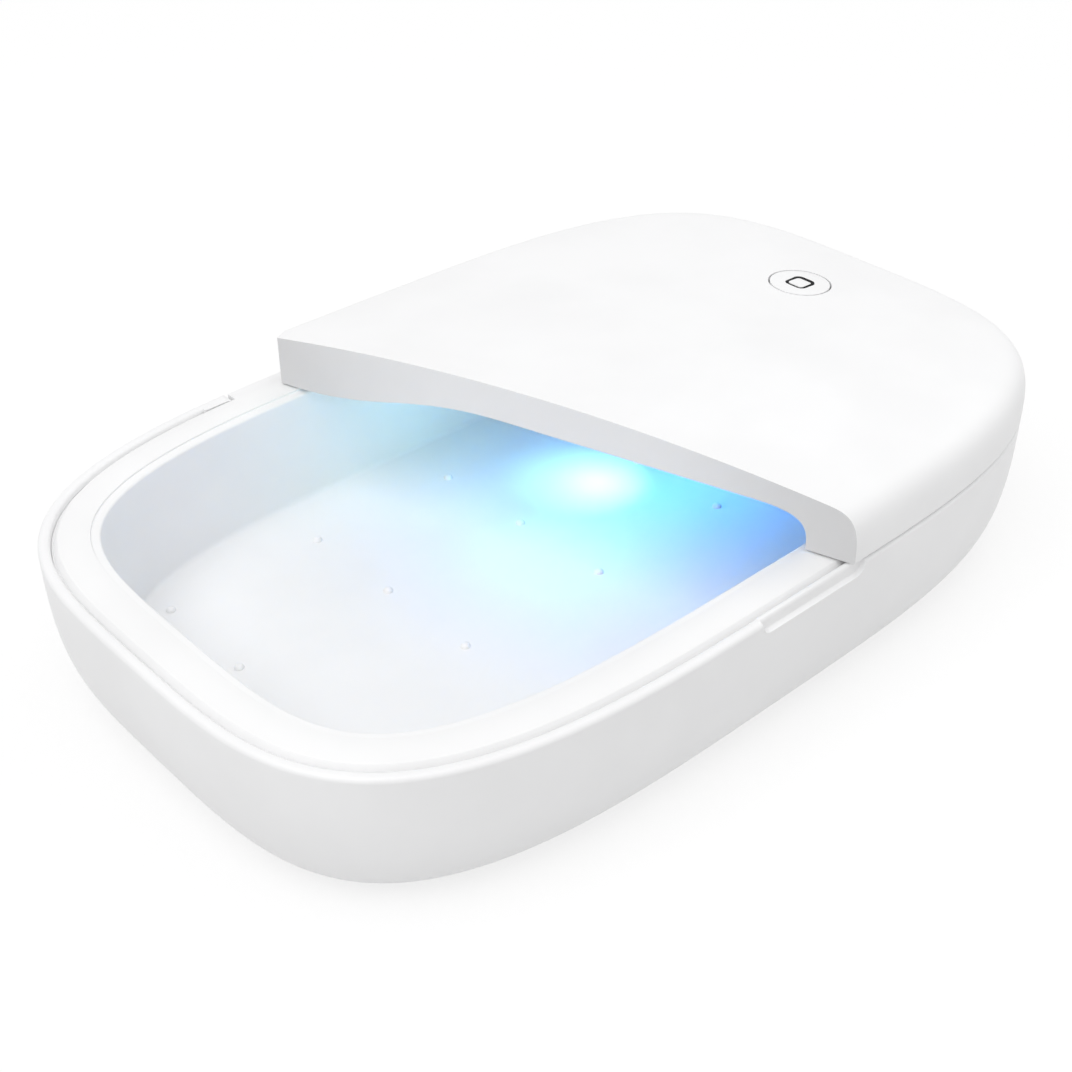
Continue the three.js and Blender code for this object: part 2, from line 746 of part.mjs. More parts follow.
function buttonCap() {
  const cup = uprightRod(buttonRadius, buttonX, 0, buttonSkirtBottom, rimZ + farReach, 40)
    .intersect(lidDome());
  const flange = uprightRod(buttonRadius + buttonFlange, buttonX, 0, buttonSkirtBottom,
    buttonSkirtBottom + buttonFlangeThickness, 40);
  const hollow = uprightRod(buttonRadius - buttonWall, buttonX, 0, buttonSkirtBottom - overrun,
    buttonPlate, 32);
  const slot = block(0, buttonX, -buttonSlotWidth / 2, buttonSlotWidth / 2, buttonSkirtBottom - overrun,
    buttonBoardZ + harnessThickness + 2 * clearance);
  return cup.add(flange).subtract(hollow).subtract(slot).subtract(iconFrame(iconFit, 1));
}

// A round-cornered square frame sunk in the top of the button
function iconFrame(grow, lift) {
  const outer = iconSide / 2 + grow;
  const frame = roundedRectangle(2 * outer, 2 * outer, iconRound + grow);
  const inner = iconSide - 2 * iconStroke - 2 * grow;
  frame.holes.push(roundedRectangle(inner, inner, iconRound - iconStroke));
  const depth = iconDepth + lift * overrun;
  const run = new THREE.ExtrudeGeometry(frame, { depth, bevelEnabled: false, curveSegments: 4 });
  run.translate(buttonX, 0, buttonTop - iconDepth - grow);
  return solid(run);
}

const buttonBoardZ = linerTop + clearance;
const switchZ = buttonBoardZ + buttonBoardThickness + clearance;
const switchHeight = buttonPlate - switchRoom - switchZ;
const plungerZ = switchZ + switchHeight - plungerSink;
const plungerHeight = buttonPlate - plungerFit - plungerZ;

function switchBody() {
  const half = switchSide / 2;
  const body = block(-half, half, -half, half, 0, switchHeight);
  const bore = uprightRod(plungerRadius + clearance, 0, 0, clearance, switchHeight + overrun, 16);
  return geometryOf(body.subtract(bore));
}

// The socket for the power lead, with its contact tongue
function powerInlet(length) {
  const body = wallOpening(inletWidth, inletHeight, inletRound, 0, 0, 0, length);
  const mouth = wallOpening(inletWidth - 2 * inletWall, inletHeight - 2 * inletWall, inletRound - inletWall,
    0, 0, length - inletMouthDepth, length + overrun);
  const tongueHalf = inletWidth / 2 - 2 * inletWall - inletTongueHeight;
  const tongue = block(-tongueHalf, tongueHalf, length - inletMouthDepth - inletWall, length - inletWall,
    -inletTongueHeight / 2, inletTongueHeight / 2);
  return geometryOf(body.subtract(mouth).add(tongue));
}

// Assembly
const box = new THREE.Group();
const base = new THREE.Group();
const lid = new THREE.Group();
const button = new THREE.Group();
box.add(base, lid);
lid.add(button);

function place(parent, name, shape, material, x = 0, y = 0, z = 0) {
  const geometry = shape.isBufferGeometry ? shape : geometryOf(shape);
  const mesh = new THREE.Mesh(geometry, material);
  mesh.name = name;
  mesh.position.set(x, y, z);
  parent.add(mesh);
}

place(base, 'base_shell', baseShell(), whiteShell());
place(base, 'chamber_tray', chamberTray(), whiteTray());

const cornerNames = ['front_left', 'front_right', 'rear_left', 'rear_right'];
footPlaces().forEach(([x, y], index) => {
  place(base, `foot_${cornerNames[index]}`, foot(), darkRubber(), x, y, 0);
  place(base, `case_screw_${cornerNames[index]}`, screw(caseScrewLength), brightSteel(),
    x, y, screwHeadZ);
});

const pinLength = 2 * hingePinReach;
for (const [name, side] of [['left', -1], ['right', 1]]) {
  const pin = new THREE.CylinderGeometry(hingePinRadius, hingePinRadius, pinLength, 12).rotateZ(Math.PI / 2);
  place(base, `hinge_pin_${name}`, pin, brightSteel(), side * hingeHalf, hingeY, hingeZ);
}

const boardFace = mainBoardY + boardThickness / 2 + clearance;
place(base, 'main_board', new THREE.BoxGeometry(mainBoardLength, boardThickness, mainBoardHeight),
  greenBoard(), 0, mainBoardY, (mainBoardBottom + mainBoardTop) / 2);
const inletFace = halfWidth - drawnIn((rimZ - inletRise) / tubDepth, tubFlare, tubPower) - clearance;
place(base, 'power_inlet', powerInlet(inletFace - boardFace), brightSteel(), 0, boardFace, inletRise);
place(base, 'controller_chip', new THREE.BoxGeometry(chipSide, chipHeight, chipSide), blackPlastic(),
  chipX, boardFace + chipHeight / 2, chipRise);
place(base, 'driver_coil', new THREE.CylinderGeometry(coilRadius, coilRadius, coilHeight, 20),
  blackPlastic(), coilX, boardFace + coilHeight / 2, chipRise);
place(base, 'lead_header', new THREE.BoxGeometry(headerLength, headerDepth, headerHeight), whiteBoard(),
  headerX, boardFace + headerDepth / 2, chipRise);

place(base, 'sensor_board', new THREE.BoxGeometry(sensorBoardWidth, boardThickness, sensorBoardHeight),
  greenBoard(), sensorX, sensorY, (sensorBoardBottom + sensorBoardTop) / 2);
place(base, 'hall_sensor', new THREE.BoxGeometry(sensorSide, sensorHeight, sensorSide), blackPlastic(),
  sensorX, sensorY + boardThickness / 2 + clearance + sensorHeight / 2,
  sensorBoardTop - sensorSide);

place(lid, 'lid_shell', lidShell(), whiteShell());
place(lid, 'lid_liner', lidLiner(), whiteTray());
place(lid, 'section_cover', sectionCover(), greySection());
place(lid, 'led_board', new THREE.BoxGeometry(ledBoardLength, ledBoardWidth, ledBoardThickness),
  whiteBoard(), emitterRowX, 0, ledBoardZ + ledBoardThickness / 2);

const emitterNames = ['uv_emitter_left', 'centre_emitter', 'uv_emitter_right'];
const emitterFinishes = [amberCeramic, silverCeramic, amberCeramic];
emitterPlaces().forEach(([x, y], index) => {
  place(lid, emitterNames[index], emitter(), emitterFinishes[index](), x, y,
    ledBoardZ - emitterHeight - clearance);
});

linerScrewPlaces().forEach(([x, y], index) => {
  const names = ['side_front', 'side_rear', 'end_front', 'end_rear'];
  place(lid, `liner_screw_${names[index]}`, screw(linerScrewLength), brightSteel(), x, y, seamZ);
});

place(lid, 'lid_magnet', new THREE.BoxGeometry(magnetLength, magnetWidth, magnetHeight), brightSteel(),
  sensorX, magnetInset - halfWidth, flangeTop + clearance + magnetHeight / 2);

place(lid, 'button_board', new THREE.CylinderGeometry(buttonBoardRadius, buttonBoardRadius,
  buttonBoardThickness, 28).rotateX(Math.PI / 2), greenBoard(), buttonX, 0,
buttonBoardZ + buttonBoardThickness / 2);
place(lid, 'switch_body', switchBody(), blackPlastic(), buttonX, 0, switchZ);
const harnessFrom = ledBoardTo + clearance;
const harnessTo = buttonX - buttonBoardRadius - clearance;
place(lid, 'lid_harness', new THREE.BoxGeometry(harnessTo - harnessFrom, harnessWidth, harnessThickness),
  ribbonPlastic(), (harnessFrom + harnessTo) / 2, 0, ledBoardZ + harnessThickness / 2);

place(button, 'button_cap', buttonCap(), whiteShell());
place(button, 'button_icon', iconFrame(0, 0), blackPlastic());
place(button, 'switch_plunger', new THREE.CylinderGeometry(plungerRadius, plungerRadius, plungerHeight, 16)
  .rotateX(Math.PI / 2), whiteBoard(), buttonX, 0, plungerZ + plungerHeight / 2);

export default box;
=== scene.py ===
"""Looks of a sanitizer box: tub, drop-in tray, hinged lid shown in section, and push button.

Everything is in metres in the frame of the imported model: X runs along the box with the button at
the +X end, the thumb notch is on the -Y side, the hinge on the +Y side, and Z points up.
"""

from __future__ import annotations

import json
import logging
import math
from dataclasses import dataclass, field
from enum import Enum
from typing import Any, Iterable, Sequence, Union

import bpy
import numpy as np
from mathutils import Matrix, Vector

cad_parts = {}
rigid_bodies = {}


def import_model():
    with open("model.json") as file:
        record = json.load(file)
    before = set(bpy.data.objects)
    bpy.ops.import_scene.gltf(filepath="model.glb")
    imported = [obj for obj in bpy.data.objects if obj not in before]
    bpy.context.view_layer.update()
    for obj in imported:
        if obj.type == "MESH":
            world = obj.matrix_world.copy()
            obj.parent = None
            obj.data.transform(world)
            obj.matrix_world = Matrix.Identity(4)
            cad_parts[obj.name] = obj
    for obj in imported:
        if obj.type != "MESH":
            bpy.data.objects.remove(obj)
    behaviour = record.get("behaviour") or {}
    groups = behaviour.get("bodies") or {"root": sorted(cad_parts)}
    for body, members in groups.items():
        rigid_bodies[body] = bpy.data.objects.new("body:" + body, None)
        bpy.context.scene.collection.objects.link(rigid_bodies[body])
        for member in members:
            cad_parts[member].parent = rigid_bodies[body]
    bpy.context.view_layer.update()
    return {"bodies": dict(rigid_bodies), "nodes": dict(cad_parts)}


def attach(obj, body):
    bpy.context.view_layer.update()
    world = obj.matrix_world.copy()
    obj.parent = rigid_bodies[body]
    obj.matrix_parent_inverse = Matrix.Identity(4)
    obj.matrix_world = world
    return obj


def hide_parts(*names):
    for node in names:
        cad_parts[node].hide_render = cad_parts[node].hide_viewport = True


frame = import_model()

log = logging.getLogger("sanitizer_box")

MM = 0.001
SHARP_EDGE = math.radians(32.0)
HOLE_SIDES = 24
PIN_SIDES = 32
SEAT_SIDES = 64
FLANGE_SIDES = 96
CAP_SIDES = 128
Color = tuple[float, float, float]
WHITE: Color = (1.0, 1.0, 1.0)


class Value:
    """A number that a material works out for every point; arithmetic on it adds Math nodes."""

    def __init__(self, recipe: "Recipe", socket: bpy.types.NodeSocket) -> None:
        """Wraps an output socket that carries a number, in the recipe's tree."""
        self.recipe = recipe
        self.socket = socket

    def _math(self, operation: str, first: "Operand", second: "Operand") -> "Value":
        """Adds one Math node with Blender's name of the operation, and gives its result."""
        node = self.recipe.node("ShaderNodeMath", {"operation": operation}, {0: first, 1: second})
        return Value(self.recipe, node.outputs[0])

    def __add__(self, other: "Operand") -> "Value":
        """Adds a number."""
        return self._math("ADD", self, other)

    def __radd__(self, other: "Operand") -> "Value":
        """Adds to a number."""
        return self._math("ADD", other, self)

    def __sub__(self, other: "Operand") -> "Value":
        """Takes a number away."""
        return self._math("SUBTRACT", self, other)

    def __rsub__(self, other: "Operand") -> "Value":
        """Takes this away from a number."""
        return self._math("SUBTRACT", other, self)

    def __mul__(self, other: "Operand") -> "Value":
        """Multiplies by a number."""
        return self._math("MULTIPLY", self, other)

    def __rmul__(self, other: "Operand") -> "Value":
        """Multiplies a number by this."""
        return self._math("MULTIPLY", other, self)

    def largest(self, other: "Operand") -> "Value":
        """Takes the larger of the two numbers."""
        return self._math("MAXIMUM", self, other)

    def step(self, low: float, high: float) -> "Value":
        """Rises smoothly from 0 at low to 1 at high, or falls where low is above high.

        Args:
            low: Where the result is 0.
            high: Where the result is 1.

        Returns:
            A number from 0 to 1.
        """
        inputs: dict[Any, Any] = {"Value": self, "From Min": low, "From Max": high}
        if low > high:
            inputs = {"Value": self, "From Min": high, "From Max": low, "To Min": 1.0, "To Max": 0.0}
        node = self.recipe.node("ShaderNodeMapRange", {"interpolation_type": "SMOOTHSTEP"}, inputs)
        return Value(self.recipe, node.outputs[0])


Operand = Union[float, Value]


class Recipe:
    """The node tree of one material or world, built round its shader."""

    def __init__(self, owner: bpy.types.Material | bpy.types.World, shader: str) -> None:
        """Takes up a tree.

        Args:
            owner: The material or world.
            shader: The name of its shader.
        """
        owner.use_nodes = True
        self.tree = owner.node_tree
        self.shader = self.tree.nodes[shader]
        self.owner = owner
        self._place: bpy.types.NodeSocket | None = None

    @classmethod
    def of_material(cls, name: str) -> "Recipe":
        """Starts a material round its Principled shader."""
        return cls(bpy.data.materials.new(name), "Principled BSDF")

    def node(self, kind: str, settings: dict[str, Any] | None = None,
             inputs: dict[Any, Any] | None = None) -> bpy.types.Node:
        """Adds a node.

        Args:
            kind: The node's type.
            settings: Its properties, set first.
            inputs: Values, sockets or links by input name or number.

        Returns:
            The new node.
        """
        made = self.tree.nodes.new(kind)
        for key, setting in (settings or {}).items():
            setattr(made, key, setting)
        for key, given in (inputs or {}).items():
            self.feed(made.inputs[key], given)
        return made

    def feed(self, socket: bpy.types.NodeSocket, given: Any) -> None:
        """Sets or links one input.

        Args:
            socket: The input.
            given: A constant, a colour, a Value or an output socket.
        """
        if isinstance(given, Value):
            given = given.socket
        if isinstance(given, bpy.types.NodeSocket):
            self.tree.links.new(given, socket)
        else:
            socket.default_value = (*given, 1.0) if socket.type == "RGBA" else given

    def shade(self, inputs: dict[str, Any]) -> None:
        """Feeds inputs of the shader by name."""
        for key, given in inputs.items():
            self.feed(self.shader.inputs[key], given)

    def place(self) -> bpy.types.NodeSocket:
        """Gives the point's place on the object, in metres."""
        if self._place is None:
            self._place = self.node("ShaderNodeTexCoord").outputs["Object"]
        return self._place

    def stretched(self, scale: Sequence[float], turn: float = 0.0) -> bpy.types.NodeSocket:
        """Gives the place with each axis scaled, after a turn about Z in radians."""
        inputs = {"Vector": self.place(), "Rotation": (0.0, 0.0, turn), "Scale": tuple(scale)}
        return self.node("ShaderNodeMapping", {}, inputs).outputs[0]

    def y_of(self, place: bpy.types.NodeSocket) -> Value:
        """Gives the Y of a place or a direction."""
        return Value(self, self.node("ShaderNodeSeparateXYZ", {}, {0: place}).outputs["Y"])

    def noise(self, size: float, detail: float = 2.0, where: Any = None) -> Value:
        """Makes soft random values around a half.

        Args:
            size: The size of one lump, in metres.
            detail: How many finer layers are added.
            where: The place to use instead of the point's own.

        Returns:
            The values.
        """
        inputs = {"Vector": where or self.place(), "Scale": 1 / size, "Detail": detail}
        return Value(self, self.node("ShaderNodeTexNoise", {}, inputs).outputs["Fac"])

    def cells(self, size: float, randomness: float = 1.0, feature: str = "F1") -> Value:
        """Measures from scattered points, or from the edges between them, in cell sizes.

        Args:
            size: The usual distance between the points, in metres.
            randomness: How far the points are from an even grid.
            feature: Blender's name of what is measured.

        Returns:
            The distance.
        """
        inputs = {"Vector": self.place(), "Scale": 1 / size, "Randomness": randomness}
        node = self.node("ShaderNodeTexVoronoi", {"feature": feature}, inputs)
        return Value(self, node.outputs["Distance"])

    def bands(self, pitch: float, direction: str) -> Value:
        """Makes even waves across the object.

        Args:
            pitch: The distance from crest to crest, in metres.
            direction: The axis that crosses the waves.

        Returns:
            Values from 0 to 1.
        """
        inputs = {"Vector": self.place(), "Scale": math.pi / (10 * pitch)}
        node = self.node("ShaderNodeTexWave", {"bands_direction": direction}, inputs)
        return Value(self, node.outputs["Fac"])

    def seen(self) -> Value:
        """Gives 1 for rays that look at the surface directly, in metal or through glass."""
        rays = self.node("ShaderNodeLightPath").outputs
        direct = Value(self, rays["Is Camera Ray"]).largest(Value(self, rays["Is Glossy Ray"]))
        return direct.largest(Value(self, rays["Is Transmission Ray"]))

    def blend(self, factor: Operand, first: Any, second: Any) -> bpy.types.NodeSocket:
        """Mixes two colours.

        Args:
            factor: The share of the second.
            first: A colour or a link.
            second: A colour or a link.

        Returns:
            The mixed colour.
        """
        inputs = {0: factor, 6: first, 7: second}
        return self.node("ShaderNodeMix", {"data_type": "RGBA"}, inputs).outputs[2]

    def relief(self, *layers: tuple[Operand, float]) -> None:
        """Gives the surface a relief.

        Args:
            layers: Heights from 0 to 1, each with its depth in metres.
        """
        inputs: dict[str, Any] = {}
        for height, depth in layers:
            inputs |= {"Height": height, "Distance": depth}
            inputs["Normal"] = self.node("ShaderNodeBump", {}, inputs).outputs[0]
        self.feed(self.shader.inputs["Normal"], inputs["Normal"])


def darker(color: Color, share: float, added: float = 0.0) -> Color:
    """Gives a share of a colour, with a little grey added."""
    return tuple(part * share + added for part in color)


@dataclass(frozen=True)
class MouldedPlastic:
    """Opaque injection-moulded plastic with a fine mould texture."""

    name: str
    color: Color
    roughness: float
    grain: float = 0.30 * MM
    grain_depth: float = 0.0025 * MM
    flow: float = 26 * MM
    flow_depth: float = 0.03 * MM
    tint: float = 0.03
    mote_spacing: float = 2.6 * MM
    mote_drift: float = 9 * MM
    mote_share: float = 0.78

    def material(self) -> bpy.types.Material:
        """Builds the material.

        Returns:
            The material.
        """
        recipe = Recipe.of_material(self.name)
        cloud = recipe.noise(self.flow, 3.0)
        drift = recipe.noise(self.mote_drift).step(0.58, 0.66)
        motes = recipe.cells(self.mote_spacing).step(0.045, 0.02) * drift
        tone = recipe.blend(cloud.step(0.3, 0.7), self.color, darker(self.color, 1 - self.tint))
        grain = recipe.noise(self.grain, 2.0)
        recipe.shade({
            "Base Color": recipe.blend(motes * 0.5, tone, darker(self.color, self.mote_share)),
            "Roughness": self.roughness + (cloud - 0.5) * 0.08 + (grain - 0.5) * 0.05 + motes * 0.1,
            "IOR": 1.49,
        })
        recipe.relief((cloud, self.flow_depth), (grain, self.grain_depth))
        return recipe.owner


@dataclass(frozen=True)
class CutFace:
    """The plain face of a sectioned lid, with painted shade darkening it towards its ends, and the faint
    marks of the saw.
    """

    name: str
    color: Color
    # painted shade: the darker colour that the face is blended to at its ends
    painted_shade_end_color: Color
    turn: float
    half_length: float = 62 * MM
    mark: float = 0.5 * MM
    mark_depth: float = 0.006 * MM
    cloud: float = 16 * MM

    def material(self) -> bpy.types.Material:
        """Builds the material.

        Returns:
            The material.
        """
        recipe = Recipe.of_material(self.name)
        marks = recipe.noise(self.mark, 3.0, recipe.stretched((1.0, 0.12, 1.0), -self.turn))
        cloud = recipe.noise(self.cloud, 2.0)
        # painted shade: the colour darkens towards both ends of the face, standing in for the light falling
        # off there
        reach = recipe.y_of(recipe.place()) * (1 / self.half_length)
        ends = (reach * reach).step(0.0, 1.0)
        recipe.shade({
            "Base Color": recipe.blend(ends + (cloud - 0.5) * 0.4, self.color, self.painted_shade_end_color),
            "Roughness": 0.62 + (marks - 0.5) * 0.12,
            "IOR": 1.46,
        })
        recipe.relief((marks, self.mark_depth))
        return recipe.owner


@dataclass(frozen=True)
class Steel:
    """Bright steel with fine turning or rolling marks."""

    name: str
    color: Color = (0.62, 0.62, 0.63)
    roughness: float = 0.28
    pitch: float = 0.09 * MM
    stain: float = 1.6 * MM
    scratch_depth: float = 0.002 * MM

    def material(self) -> bpy.types.Material:
        """Builds the material.

        Returns:
            The material.
        """
        recipe = Recipe.of_material(self.name)
        scratches = recipe.noise(self.pitch, 2.0, recipe.stretched((0.08, 1.0, 1.0)))
        stain = recipe.noise(self.stain, 3.0)
        recipe.shade({
            "Base Color": recipe.blend(stain.step(0.45, 0.75), self.color, darker(self.color, 0.8)),
            "Metallic": 1.0,
            "Roughness": self.roughness + (scratches - 0.5) * 0.2 + stain * 0.08,
        })
        recipe.relief((scratches, self.scratch_depth))
        return recipe.owner


@dataclass(frozen=True)
class Rubber:
    """Matt rubber with a fine pebbled skin and a pale bloom."""

    name: str
    color: Color
    pebble: float = 0.35 * MM
    pebble_depth: float = 0.02 * MM
    bloom: float = 4 * MM

    def material(self) -> bpy.types.Material:
        """Builds the material.

        Returns:
            The material.
        """
        recipe = Recipe.of_material(self.name)
        bloom = recipe.noise(self.bloom, 3.0)
        pale = darker(self.color, 1.9, 0.01)
        recipe.shade({
            "Base Color": recipe.blend(bloom.step(0.4, 0.8) * 0.5, self.color, pale),
            "Roughness": 0.78 + (bloom - 0.5) * 0.15,
            "IOR": 1.5,
        })
        recipe.relief((recipe.cells(self.pebble), self.pebble_depth))
        return recipe.owner


@dataclass(frozen=True)
class Board:
    """A circuit board under its solder mask, with tracks that show through."""

    name: str
    mask: Color
    track: Color
    pitch: float = 1.5 * MM
    track_depth: float = 0.03 * MM
    weave: float = 0.4 * MM
    weave_depth: float = 0.004 * MM

    def material(self) -> bpy.types.Material:
        """Builds the material.

        Returns:
            The material.
        """
        recipe = Recipe.of_material(self.name)
        edges = recipe.cells(3.2 * self.pitch, 0.75, "DISTANCE_TO_EDGE").step(0.10, 0.06)
        runs = recipe.bands(self.pitch, "DIAGONAL").step(0.72, 0.86)
        pads = recipe.cells(2.4 * self.pitch).step(0.16, 0.11)
        tracks = (edges * (1 - runs) + runs * 0.35).largest(pads)
        weave = recipe.bands(self.weave, "X") * recipe.bands(self.weave, "Z")
        recipe.shade({
            "Base Color": recipe.blend(tracks, self.mask, self.track),
            "Roughness": 0.42 - tracks * 0.1 + weave * 0.06,
            "IOR": 1.5,
        })
        recipe.relief((tracks, self.track_depth), (weave, self.weave_depth))
        return recipe.owner


@dataclass(frozen=True)
class Moulding:
    """Small matt moulded or pressed pieces: chip packages, frames, connectors and inlays."""

    name: str
    color: Color
    roughness: float = 0.5
    metallic: float = 0.0
    gloss: float = 0.5
    grain: float = 0.12 * MM
    grain_depth: float = 0.004 * MM
    cloud: float = 2.2 * MM

    def material(self) -> bpy.types.Material:
        """Builds the material.

        Returns:
            The material.
        """
        recipe = Recipe.of_material(self.name)
        grain = recipe.noise(self.grain, 3.0)
        cloud = recipe.noise(self.cloud, 2.0).step(0.35, 0.7)
        recipe.shade({
            "Base Color": recipe.blend(cloud, self.color, darker(self.color, 0.82, 0.004)),
            "Metallic": self.metallic,
            "Roughness": self.roughness + (grain - 0.5) * 0.16,
            "Specular IOR Level": self.gloss,
        })
        recipe.relief((grain, self.grain_depth))
        return recipe.owner


class Finishes:
    """All the finishes of the box, each built once."""

    def __init__(self, section_turn: float) -> None:
        """Builds the finishes.

        Args:
            section_turn: The angle of the lid's section, in radians.
        """
        self.shell = MouldedPlastic("white_shell", (0.90, 0.90, 0.905), 0.38).material()
        self.tray = MouldedPlastic("white_tray", (0.905, 0.905, 0.908), 0.42).material()
        # the second colour is the painted shade at the ends of the cut face
        self.section = CutFace("section_grey", (0.84, 0.84, 0.845), (0.67, 0.67, 0.675),
                               section_turn).material()
        self.rubber = Rubber("dark_rubber", (0.035, 0.035, 0.038)).material()
        self.steel = Steel("bright_steel").material()
        self.green = Board("green_board", (0.012, 0.10, 0.038), (0.035, 0.22, 0.085)).material()
        self.white_board = Board("white_board", (0.80, 0.80, 0.78), (0.70, 0.70, 0.66)).material()
        self.nylon = Moulding("white_nylon", (0.76, 0.75, 0.70), 0.45).material()
        self.black = Moulding("black_plastic", (0.012, 0.012, 0.013), 0.45).material()
        self.ink = Moulding("black_ink", (0.008, 0.008, 0.009), 0.6, gloss=0.12).material()
        self.dark_frame = Moulding("package_frame", (0.055, 0.035, 0.022), 0.4).material()
        self.amber = Moulding("amber_package", (0.62, 0.27, 0.045), 0.32, 0.55).material()
        self.gold = Moulding("gold_pad", (0.83, 0.55, 0.22), 0.25, 1.0).material()
        self.silver = Moulding("silver_package", (0.42, 0.42, 0.45), 0.32, 0.6).material()
        self.lens = Moulding("lens", (0.05, 0.05, 0.06), 0.08).material()
        self.copper = Moulding("copper_wire", (0.72, 0.33, 0.14), 0.3, 1.0).material()
        self.ribbon = Moulding("ribbon_plastic", (0.70, 0.69, 0.64), 0.5).material()


class Outline:
    """The plan outline of the box, a superellipse with evenly spaced points."""

    def __init__(self, half_length: float, half_width: float, power: float, spacing: float,
                 front_stretches: Iterable[tuple[float, float]] = (), fine: float = 0.15 * MM,
                 samples: int = 3000) -> None:
        """Spaces the points.

        Args:
            half_length: Half the length.
            half_width: Half the width.
            power: The power of the superellipse.
            spacing: The distance between the points.
            front_stretches: Stretches of the -Y side, from X to X, with more points.
            fine: The distance between the points there.
            samples: How many samples of a quarter the distances are measured with.
        """
        shares = np.linspace(0, 1, samples, endpoint=False)
        bend = power / 2
        eased = shares ** bend / (shares ** bend + (1 - shares) ** bend)
        turns = np.concatenate([(quarter + eased) * math.pi / 2 for quarter in range(4)])
        turns = np.append(turns, 2 * math.pi)
        along, across = np.cos(turns), np.sin(turns)
        dense = np.stack([
            half_length * np.sign(along) * np.abs(along) ** (2 / power),
            half_width * np.sign(across) * np.abs(across) ** (2 / power)], axis=1)
        travel = np.concatenate([[0.0], np.cumsum(np.hypot(*np.diff(dense, axis=0).T))])
        stops = np.linspace(0, travel[-1], int(travel[-1] / spacing), endpoint=False)
        front_middle = 3 / 4 * travel[-1]
        extra = [np.arange(front_middle + low, front_middle + high, fine) for low, high in front_stretches]
        stops = np.unique(np.round(np.concatenate([stops, *extra]), 7))
        x = np.interp(stops, travel, dense[:, 0])
        y = np.interp(stops, travel, dense[:, 1])
        slope_x = np.sign(x) * np.abs(x / half_length) ** (power - 1) / half_length
        slope_y = np.sign(y) * np.abs(y / half_width) ** (power - 1) / half_width
        steepness = np.hypot(slope_x, slope_y)
        self.points = np.stack([x, y], axis=1)
        self.outward = np.stack([slope_x / steepness, slope_y / steepness], axis=1)

    def ring(self, inset: Any, height: float, rear_share: float = 0.0) -> np.ndarray:
        """Makes a ring inside the outline.

        Args:
            inset: How far inside, for all points or for each.
            height: Its Z.
            rear_share: The share by which the +Y half is drawn towards the middle.

        Returns:
            The ring's points.
        """
        moved = self.points - self.outward * np.reshape(inset, (-1, 1))
        moved[:, 1] = np.where(moved[:, 1] > 0, moved[:, 1] * (1 - rear_share), moved[:, 1])
        return np.column_stack([moved, np.full(len(moved), height)])

    def shrunk(self, inset: float, share: float, height: float) -> np.ndarray:
        """Makes a ring at an inset and a height, scaled to a share about the middle."""
        made = self.ring(inset, height)
        made[:, :2] *= share
        return made


def arc(steps: int) -> np.ndarray:
    """Gives evenly spaced angles over a right angle."""
    return np.linspace(0, math.pi / 2, steps + 1)


def rounded_plan(width: float, height: float, radius: float, arc_steps: int = 8) -> np.ndarray:
    """Makes the plan of a rectangle with round corners.

    Args:
        width: The size along X.
        height: The size along Y.
        radius: The radius of its corners.
        arc_steps: The steps round each corner.

    Returns:
        Its points, counter-clockwise round the origin.
    """
    points = []
    for corner, (side_x, side_y) in enumerate(((1, 1), (-1, 1), (-1, -1), (1, -1))):
        for angle in np.linspace(corner, corner + 1, arc_steps + 1) * math.pi / 2:
            points.append((side_x * (width / 2 - radius) + radius * math.cos(angle),
                           side_y * (height / 2 - radius) + radius * math.sin(angle)))
    return np.array(points)


def drawn_in(angle: Any, flare: float, power: float) -> tuple[Any, Any]:
    """Follows a rounded side, a quarter of a superellipse.

    Args:
        angle: 0 at the upright end of the side and a right angle at its flat end.
        flare: How far the flat end has drawn in.
        power: The superellipse's power.

    Returns:
        The share of the side's height, and how far it has drawn in.
    """
    return np.sin(angle) ** (2 / power), flare * (1 - np.cos(angle) ** (2 / power))


def bent_in(share: float, power: float) -> float:
    """Gives how far a rounded side has drawn in at a share of its height, as a share of its flare."""
    return 1 - (1 - share ** power) ** (1 / power)


class Cut(Enum):
    """How two closed meshes are combined."""

    JOIN = "UNION"
    REMOVE = "DIFFERENCE"
    KEEP = "INTERSECT"


